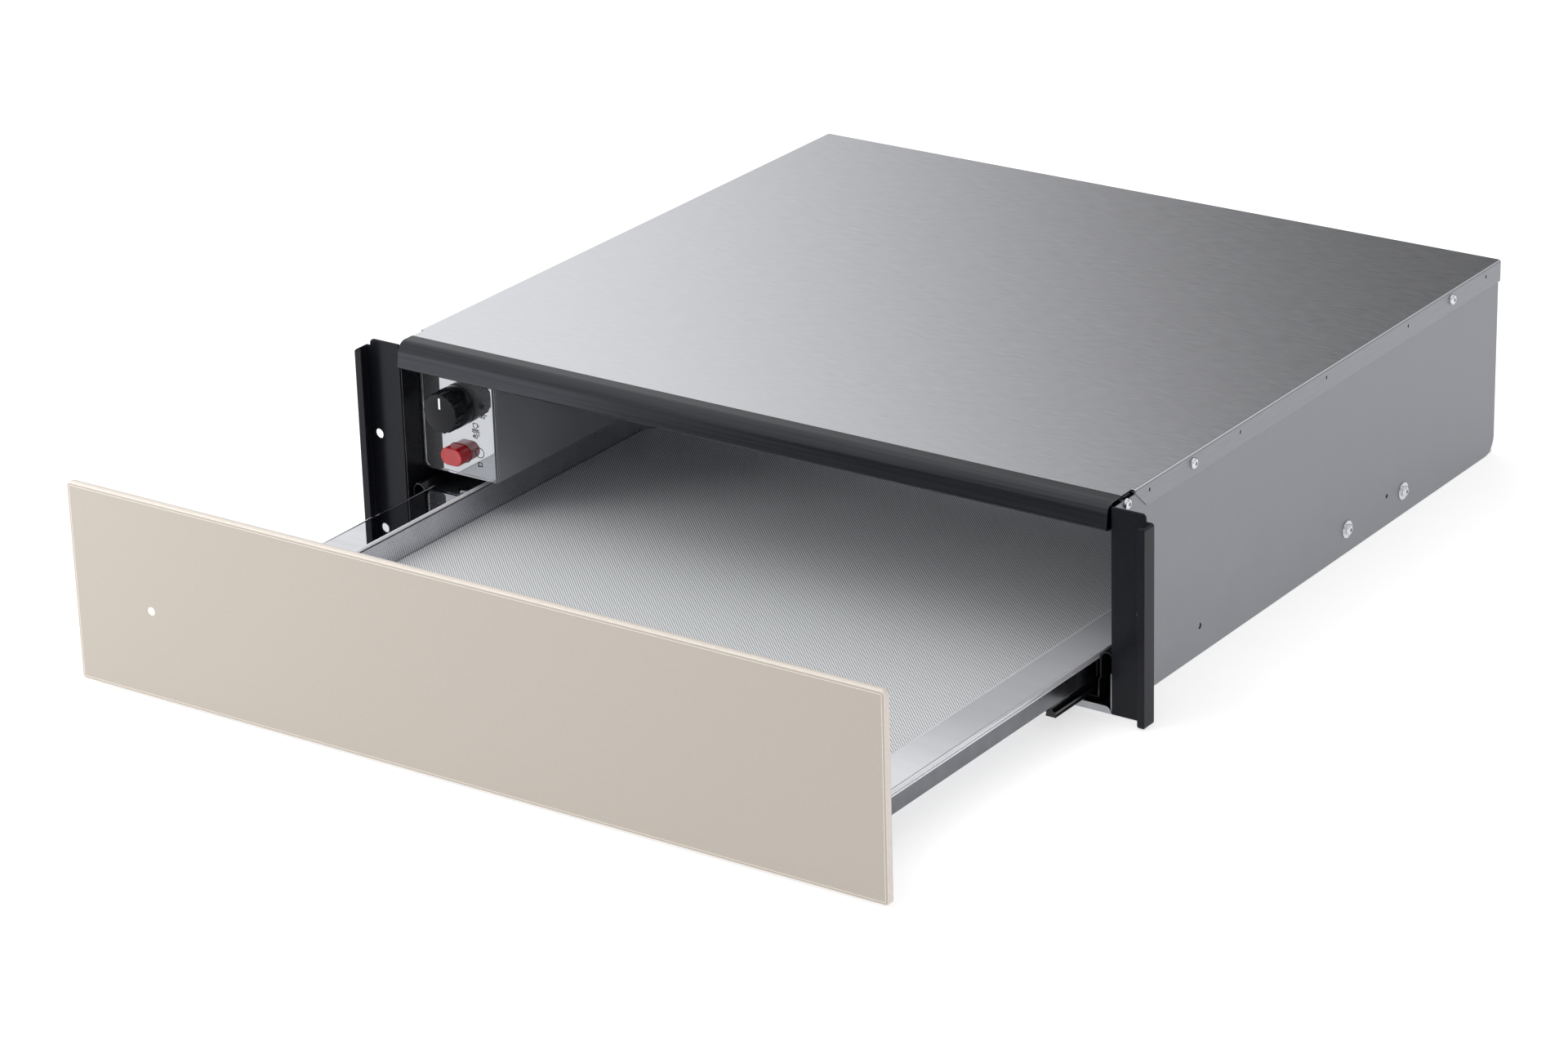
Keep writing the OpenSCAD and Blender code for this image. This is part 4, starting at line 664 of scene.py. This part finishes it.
def printedMarks():
    verts, faces, line = [], [], marks["line"]
    for k in range(3):
        a = math.radians(60 * k + 90)
        ux, uz = math.cos(a), math.sin(a)
        printStroke(verts, faces, onFace(marks["flake"], [(-ux, -uz), (ux, uz)]), line)
        for end in (-1, 1):
            foot = (end * marks["twigFoot"] * ux, end * marks["twigFoot"] * uz)
            for side in (-1, 1):
                b = a + side * math.radians(marks["twigTurn"])
                reach = end * marks["twigLength"]
                twig = [foot, (foot[0] + reach * math.cos(b), foot[1] + reach * math.sin(b))]
                printStroke(verts, faces, onFace(marks["flake"], twig), line * marks["twigLine"])
    for points in marks["cupLines"]:
        printStroke(verts, faces, onFace(marks["cup"], points), line)
    cx, cz, r = marks["waves"]
    for drop in (marks["waveGap"], -marks["waveGap"]):
        wave = [(cx + r * (2 * k / marks["waveSteps"] - 1),
                 cz + drop + marks["waveHeight"] * math.sin(k * marks["waveStep"]))
                for k in range(marks["waveSteps"] + 1)]
        printStroke(verts, faces, wave, line * marks["waveLine"])
    angles = [2 * math.pi * k / marks["ringSteps"] for k in range(marks["ringSteps"])]
    printStroke(verts, faces, onFace(marks["ring"], [(math.cos(a), math.sin(a)) for a in angles]), line, True)
    for points, weight in marks["squareLines"]:
        printStroke(verts, faces, onFace(marks["square"], points), line * weight)
    addPiece("printedMarks", meshFrom("printedMarks", verts, faces), "chassis", [inkBlack], ())
    depth = marks["proud"] + marks["sunk"]
    middle = marks["plane"] + (marks["sunk"] - marks["proud"]) / 2
    for number, (text, wx, wz) in enumerate(marks["words"]):
        curve = bpy.data.curves.new("word", "FONT")
        curve.body, curve.size, curve.extrude = text, marks["letterSize"], depth / 2
        curve.align_x, curve.align_y, curve.offset = "CENTER", "CENTER", marks["letterBolder"]
        word = meshShown(newObject("word", curve))
        for vertex in word.vertices:
            x, up, out = vertex.co
            vertex.co = ((wx + x) * mm, (middle - out) * mm, (wz + up) * mm)
        addPiece("printedWord" + str(number + 1), word, "chassis", [inkBlack], ())


printedMarks()
print("controls done")


# Screws: a domed pan head with a six-lobed recess, a shank and, where there is one, a washer, set on every
# point of a small mesh and turned to the way that the point faces. Each form is made with radius 1 and
# height 1 and then brought to its size. A dome or rim is a row of steps: how far each rises and the share of
# the width that it keeps. The lobes wave about a mean share of the recess's radius.
screwForm = {
    "headFoot": 0.35, "headDome": [(0.27, 0.94), (0.22, 0.85), (0.16, 0.68)], "headSides": 36,
    "recessRadius": 1.55 / 3.6, "recessDepth": 1.2 / 2.3, "lobes": 6.0, "lobeMean": 0.85, "lobeWave": 0.15,
    "shankSides": 16, "washerFoot": 0.7, "washerDome": [(0.3, 0.95)], "washerSides": 40, "leastWasher": 0.1,
}


def screwTree(form):
    tree = bpy.data.node_groups.new("screwSet", "GeometryNodeTree")
    face = tree.interface
    face.new_socket("Places", in_out="INPUT", socket_type="NodeSocketGeometry")
    for label in ("Head Radius", "Head Height", "Shank Radius", "Shank Length", "Washer Radius", "Washer Height"):
        face.new_socket(label, in_out="INPUT", socket_type="NodeSocketFloat")
    face.new_socket("Finish", in_out="INPUT", socket_type="NodeSocketMaterial")
    face.new_socket("Screws", in_out="OUTPUT", socket_type="NodeSocketGeometry")
    given = addNode(tree, "NodeGroupInput").outputs

    # A drum that stands on its foot and narrows upwards in steps
    def turnedForm(foot, height, steps, sides):
        drum = addNode(tree, "GeometryNodeMeshCylinder", {"fill_type": "NGON"},
                       values={"Radius": 1.0, "Depth": height, "Vertices": sides})
        lifted = addNode(tree, "GeometryNodeTransform", links={"Geometry": drum.outputs["Mesh"]},
                         values={"Translation": (0, 0, foot + height / 2)})
        mesh, top = lifted.outputs["Geometry"], drum.outputs["Top"]
        for rise, share in steps:
            pulled = addNode(tree, "GeometryNodeExtrudeMesh", {"mode": "FACES"}, {"Mesh": mesh, "Selection": top},
                             {"Offset Scale": rise})
            narrowed = addNode(tree, "GeometryNodeScaleElements", {"domain": "FACE"},
                               {"Geometry": pulled.outputs["Mesh"], "Selection": pulled.outputs["Top"]},
                               {"Scale": share})
            mesh, top = narrowed.outputs["Geometry"], pulled.outputs["Top"]
        return mesh, top

    def toSize(mesh, radius, height):
        size = addNode(tree, "ShaderNodeCombineXYZ", links={"X": given[radius], "Y": given[radius], "Z": given[height]})
        sized = addNode(tree, "GeometryNodeTransform", links={"Geometry": mesh, "Scale": size.outputs[0]})
        return sized.outputs["Geometry"]

    mesh, top = turnedForm(0, form["headFoot"], form["headDome"], form["headSides"])
    # The recess: a last ring drawn in and waved six times, then sunk
    ring = addNode(tree, "GeometryNodeExtrudeMesh", {"mode": "FACES"}, {"Mesh": mesh, "Selection": top},
                   {"Offset Scale": 0.0})
    place = addNode(tree, "GeometryNodeInputPosition").outputs[0]
    parts = addNode(tree, "ShaderNodeSeparateXYZ", links={0: place}).outputs
    turn = addNode(tree, "ShaderNodeMath", {"operation": "ARCTAN2"}, {0: parts["Y"], 1: parts["X"]}).outputs[0]
    turns = addNode(tree, "ShaderNodeMath", {"operation": "MULTIPLY"}, {0: turn}, {1: form["lobes"]}).outputs[0]
    wave = addNode(tree, "ShaderNodeMath", {"operation": "COSINE"}, {0: turns}).outputs[0]
    reach = addNode(tree, "ShaderNodeMath", {"operation": "MULTIPLY_ADD"}, {0: wave},
                    {1: form["lobeWave"] * form["recessRadius"], 2: form["lobeMean"] * form["recessRadius"]}).outputs[0]
    flat = addNode(tree, "ShaderNodeCombineXYZ", links={"X": parts["X"], "Y": parts["Y"]}).outputs[0]
    outward = addNode(tree, "ShaderNodeVectorMath", {"operation": "NORMALIZE"}, {0: flat}).outputs[0]
    rim = addNode(tree, "ShaderNodeVectorMath", {"operation": "SCALE"}, {0: outward, "Scale": reach}).outputs[0]
    level = addNode(tree, "ShaderNodeCombineXYZ", links={"Z": parts["Z"]}).outputs[0]
    edge = addNode(tree, "ShaderNodeVectorMath", {"operation": "ADD"}, {0: rim, 1: level}).outputs[0]
    lobed = addNode(tree, "GeometryNodeSetPosition", links={
        "Geometry": ring.outputs["Mesh"], "Selection": ring.outputs["Top"], "Position": edge})
    head = addNode(tree, "GeometryNodeExtrudeMesh", {"mode": "FACES"},
                   {"Mesh": lobed.outputs["Geometry"], "Selection": ring.outputs["Top"]},
                   {"Offset Scale": -form["recessDepth"]})
    shank = turnedForm(-1, 1, [], form["shankSides"])[0]
    washer = turnedForm(-1, form["washerFoot"], form["washerDome"], form["washerSides"])[0]
    hasWasher = addNode(tree, "FunctionNodeCompare", {"operation": "GREATER_THAN"}, {0: given["Washer Radius"]},
                        {1: form["leastWasher"] * mm})
    chosen = addNode(tree, "GeometryNodeSwitch", {"input_type": "GEOMETRY"},
                     {"Switch": hasWasher.outputs[0], "True": toSize(washer, "Washer Radius", "Washer Height")})
    whole = addNode(tree, "GeometryNodeJoinGeometry")
    for mesh in (toSize(head.outputs["Mesh"], "Head Radius", "Head Height"),
                 toSize(shank, "Shank Radius", "Shank Length"), chosen.outputs[0]):
        tree.links.new(mesh, whole.inputs[0])
    facing = addNode(tree, "GeometryNodeInputNamedAttribute", {"data_type": "FLOAT_VECTOR"}, values={"Name": "facing"})
    aim = addNode(tree, "FunctionNodeAlignRotationToVector", {"axis": "Z"}, {"Vector": facing.outputs["Attribute"]})
    points = addNode(tree, "GeometryNodeMeshToPoints", links={"Mesh": given["Places"]})
    copies = addNode(tree, "GeometryNodeInstanceOnPoints", links={
        "Points": points.outputs["Points"], "Instance": whole.outputs[0], "Rotation": aim.outputs[0]})
    real = addNode(tree, "GeometryNodeRealizeInstances", links={"Geometry": copies.outputs["Instances"]})
    finish = addNode(tree, "GeometryNodeSetMaterial", links={
        "Geometry": real.outputs["Geometry"], "Material": given["Finish"]})
    addNode(tree, "NodeGroupOutput", links={"Screws": finish.outputs["Geometry"]})
    return tree


screwGroup = screwTree(screwForm)
sharpScrew = 28


def screwSet(name, node, body, material, places, sizes):
    mesh = bpy.data.meshes.new(name + "Places")
    mesh.from_pydata([tuple(c * mm for c in place) for place, facing in places], [], [])
    attribute = mesh.attributes.new("facing", "FLOAT_VECTOR", "POINT")
    for i, (place, facing) in enumerate(places):
        attribute.data[i].vector = facing
    carrier = newObject(name + "Places", mesh)
    modifier = carrier.modifiers.new("screws", "NODES")
    modifier.node_group = screwGroup
    identifiers = {item.name: item.identifier for item in screwGroup.interface.items_tree if item.in_out == "INPUT"}
    for label, value in sizes.items():
        modifier[identifiers[label]] = value * mm
    modifier[identifiers["Finish"]] = material
    made = meshShown(carrier)
    made.name = name
    made.shade_smooth()
    made.set_sharp_from_angle(angle=math.radians(sharpScrew))
    addPiece(name, made, body, [material], [node])


def mirrored(x, rows):
    return [((side * x, y, z), (side, 0.0, 0.0)) for side in (-1, 1) for y, z in rows]


panHead = {"Head Radius": 3.6, "Head Height": 2.3, "Shank Radius": 1.9, "Washer Radius": 0.0, "Washer Height": 0.0}
zincSlot = "zinc_plated_steel"
# Piece, node, body, finish, slot, places with the way that each faces, and the sizes that differ
screwRows = [
    ("coverScrews", "cover_screws", "chassis", zincScrew, zincSlot,
     mirrored(270.5, [(flangeY + 93, 130.8), (flangeY + 428, 130.8)]), {"Shank Length": 4.0}),
    ("slideScrews", "slide_screws", "chassis", zincScrew, zincSlot,
     mirrored(270.5, [(flangeY + 291, 16.7), (flangeY + 367, 16.7)]),
     {"Shank Length": 6.0, "Washer Radius": 6.0, "Washer Height": 1.0}),
    ("flangeScrews", "flange_screws", "chassis", blackScrew, "black_lacquer",
     mirrored(271.1, [(flangeY + 9, z) for z in (45.21, 78.09, 109.6)]),
     {"Shank Length": 2.42, "Shank Radius": 2.2}),
    ("trimScrews", "trim_screws", "chassis", zincScrew, zincSlot,
     mirrored(269.5, [(flangeY + 16.6, 131.0)]), {"Shank Length": 12.0}),
    ("housingScrews", "housing_screws", "chassis", zincScrew, zincSlot,
     [((-243.5, flangeY + y, 43.0), (0.0, 0.0, -1.0)) for y in (28, 427)], {"Shank Length": 1.8}),
    ("backScrews", "back_screws", "chassis", zincScrew, zincSlot,
     [((x, 248.5, z), (0.0, 1.0, 0.0)) for x in (-262.5, 262.5) for z in (30.0, 74.0, 109.6)],
     {"Shank Length": 4.0}),
    ("panelScrews", "panel_screws", "drawer", zincScrew, zincSlot,
     [((x, drawerY - 10.5, 48.3), (0.0, 1.0, 0.0)) for x in (-175.2, -54.75, 54.75, 175.2)],
     {"Shank Length": 0.4}),
]
for name, node, body, material, slotName, places, sizes in screwRows:
    screwSet(name, node, body, material, places, dict(panHead, **sizes))
print("screws done")

# Mineral wool over the warm space: a pressed slab with a lumpy, fibrous top
wool = {"step": 9.0, "lump": 0.9, "underLump": 0.3, "rimDrop": 1.0, "rimPull": 0.9, "inset": 0.3, "seed": 4}


def woolSlab():
    low, high = [[c / mm for c in corner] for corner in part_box("ceiling_insulation")]
    inset = wool["inset"]
    cx, cy = (low[0] + high[0]) / 2, (low[1] + high[1]) / 2
    counts = [round((high[i] - low[i]) / wool["step"]) for i in range(2)]
    generator = random.Random(wool["seed"])
    tool = bmesh.new()
    sheets = []
    for level, z in enumerate((low[2] + inset, high[2] - inset)):
        rows = []
        for j in range(counts[1] + 1):
            row = []
            for i in range(counts[0] + 1):
                onRim = i in (0, counts[0]) or j in (0, counts[1])
                x = low[0] + inset + (high[0] - low[0] - 2 * inset) * i / counts[0]
                y = low[1] + inset + (high[1] - low[1] - 2 * inset) * j / counts[1]
                drop = generator.uniform(0, wool["lump"]) + (wool["rimDrop"] if onRim else 0.0)
                dz = -drop if level else generator.uniform(0, wool["underLump"])
                pull = generator.uniform(0.0, wool["rimPull"]) if onRim else 0.0
                place = (x - math.copysign(pull, x - cx), y - math.copysign(pull, y - cy), z + dz)
                row.append(tool.verts.new([c * mm for c in place]))
            rows.append(row)
        sheets.append(rows)
    for level, rows in enumerate(sheets):
        for j in range(counts[1]):
            for i in range(counts[0]):
                quad = (rows[j][i], rows[j][i + 1], rows[j + 1][i + 1], rows[j + 1][i])
                tool.faces.new(quad if level else tuple(reversed(quad)))
    under, over = sheets
    rim = [(0, i) for i in range(counts[0])] + [(j, counts[0]) for j in range(counts[1])]
    rim += [(counts[1], i) for i in range(counts[0], 0, -1)] + [(j, 0) for j in range(counts[1], 0, -1)]
    for k, (j, i) in enumerate(rim):
        nj, ni = rim[(k + 1) % len(rim)]
        tool.faces.new((under[j][i], under[nj][ni], over[nj][ni], over[j][i]))
    bmesh.ops.recalc_face_normals(tool, faces=tool.faces)
    mesh = bpy.data.meshes.new("mineralWoolSlab")
    tool.to_mesh(mesh)
    tool.free()
    mesh.shade_smooth()
    piece = addPiece("mineralWoolSlab", mesh, "chassis", [mineralWool], ["ceiling_insulation"])
    smooth = piece.modifiers.new("pressed", "SUBSURF")
    smooth.levels = smooth.render_levels = 1


woolSlab()
print("insulation done")


# Studio

# The camera as fitted to the photograph: its place in m, its three axes, then focal length and sensor in mm
camera = {
    "place": (1.6830, -2.5898, 1.2601),
    "right": (0.823299, 0.566993, -0.026419),
    "up": (-0.196902, 0.328946, 0.923593),
    "back": (0.532361, -0.755191, 0.382463),
    "focal": 114.885,
    "sensor": 36.0,
    "clip": (0.05, 60.0),
}
lens = bpy.data.cameras.new("studioCamera")
lens.sensor_width, lens.lens = camera["sensor"], camera["focal"]
lens.clip_start, lens.clip_end = camera["clip"]
cameraObject = newObject("studioCamera", lens)
turn = Matrix((camera["right"], camera["up"], camera["back"])).transposed().to_4x4()
cameraObject.matrix_world = Matrix.Translation(camera["place"]) @ turn
bpy.context.scene.camera = cameraObject

studio = {"floorHalf": 9.0, "floorDrop": 0.0005, "floorTint": "#C8C8C8", "floorGlow": 0.6}
half, drop = studio["floorHalf"], studio["floorDrop"]
floorMesh = bpy.data.meshes.new("studioFloor")
floorMesh.from_pydata([(-half, -half, -drop), (half, -half, -drop), (half, half, -drop), (-half, half, -drop)], [],
                      [(0, 1, 2, 3)])
floor = newObject("studioFloor", floorMesh)
# Matt white vinyl, lit a little from within so that it stays white to its edge
floorMesh.materials.append(newMaterial("whiteStudioVinyl", {
    "Base Color": fromHex(studio["floorTint"]), "Roughness": 0.9, "Specular IOR Level": 0.1,
    "Emission Color": (1, 1, 1, 1), "Emission Strength": studio["floorGlow"]})[0])

# Softboxes light the object and stay out of its reflections: place, target, side in m and power in W
softboxes = {
    "topSoftbox": ((-1.6, -1.8, 2.6), (0, -0.4, 0), 2.8, 42),
    "glassSoftbox": ((-1.0, -1.25, 0.4), (-0.3, -0.53, 0.07), 0.6, 6),
}
for name, (place, target, side, power) in softboxes.items():
    light = bpy.data.lights.new(name, "AREA")
    light.shape, light.size, light.size_y = "RECTANGLE", side, side
    light.energy = power
    box = newObject(name, light)
    box.location = place
    box.rotation_euler = (Vector(target) - Vector(place)).to_track_quat("-Z", "Y").to_euler()
    box.visible_camera = box.visible_glossy = False

# The dome is bright all round, with a dark flag behind the object and three grey ones further round:
# the cover mirrors them, each from another side. The camera sees plain white.
world = bpy.data.worlds.new("studioDome")
bpy.context.scene.world = world
world.use_nodes = True
dome = world.node_tree
background = dome.nodes["Background"]
# Azimuth and height of a flag's middle, how far from it the flag starts to fade and ends, all in degrees, and
# the light that is left
flags = [(-8, 13, 19, 31, 0.08), (57, 24, 6, 27, 0.4), (119, 22, 6, 27, 0.4), (-166, 22, 6, 27, 0.4)]
direction = addNode(dome, "ShaderNodeTexCoord")
level = None
for flag in flags:
    azimuth, height, inner, outer = [math.radians(angle) for angle in flag[:4]]
    towards = (math.sin(azimuth) * math.cos(height), math.cos(azimuth) * math.cos(height), math.sin(height))
    facing = addNode(dome, "ShaderNodeVectorMath", {"operation": "DOT_PRODUCT"},
                     {0: direction.outputs["Generated"]}, {1: towards})
    fade = addNode(dome, "ShaderNodeMapRange", {"interpolation_type": "SMOOTHSTEP"}, {"Value": facing.outputs["Value"]},
                   {"From Min": math.cos(outer), "From Max": math.cos(inner), "To Min": 1.0, "To Max": flag[4]})
    fade = fade.outputs["Result"]
    if level is None:
        level = fade
    else:
        level = addNode(dome, "ShaderNodeMath", {"operation": "MULTIPLY"}, {0: level, 1: fade}).outputs[0]
path = addNode(dome, "ShaderNodeLightPath")
strength = addNode(dome, "ShaderNodeMix", {"data_type": "FLOAT"},
                   {"Factor": path.outputs["Is Camera Ray"], "A": level}, {"B": 1.0})
dome.links.new(strength.outputs["Result"], background.inputs["Strength"])
background.inputs["Color"].default_value = (1, 1, 1, 1)
bpy.context.scene.view_settings.view_transform = "Standard"
print("studio ready")
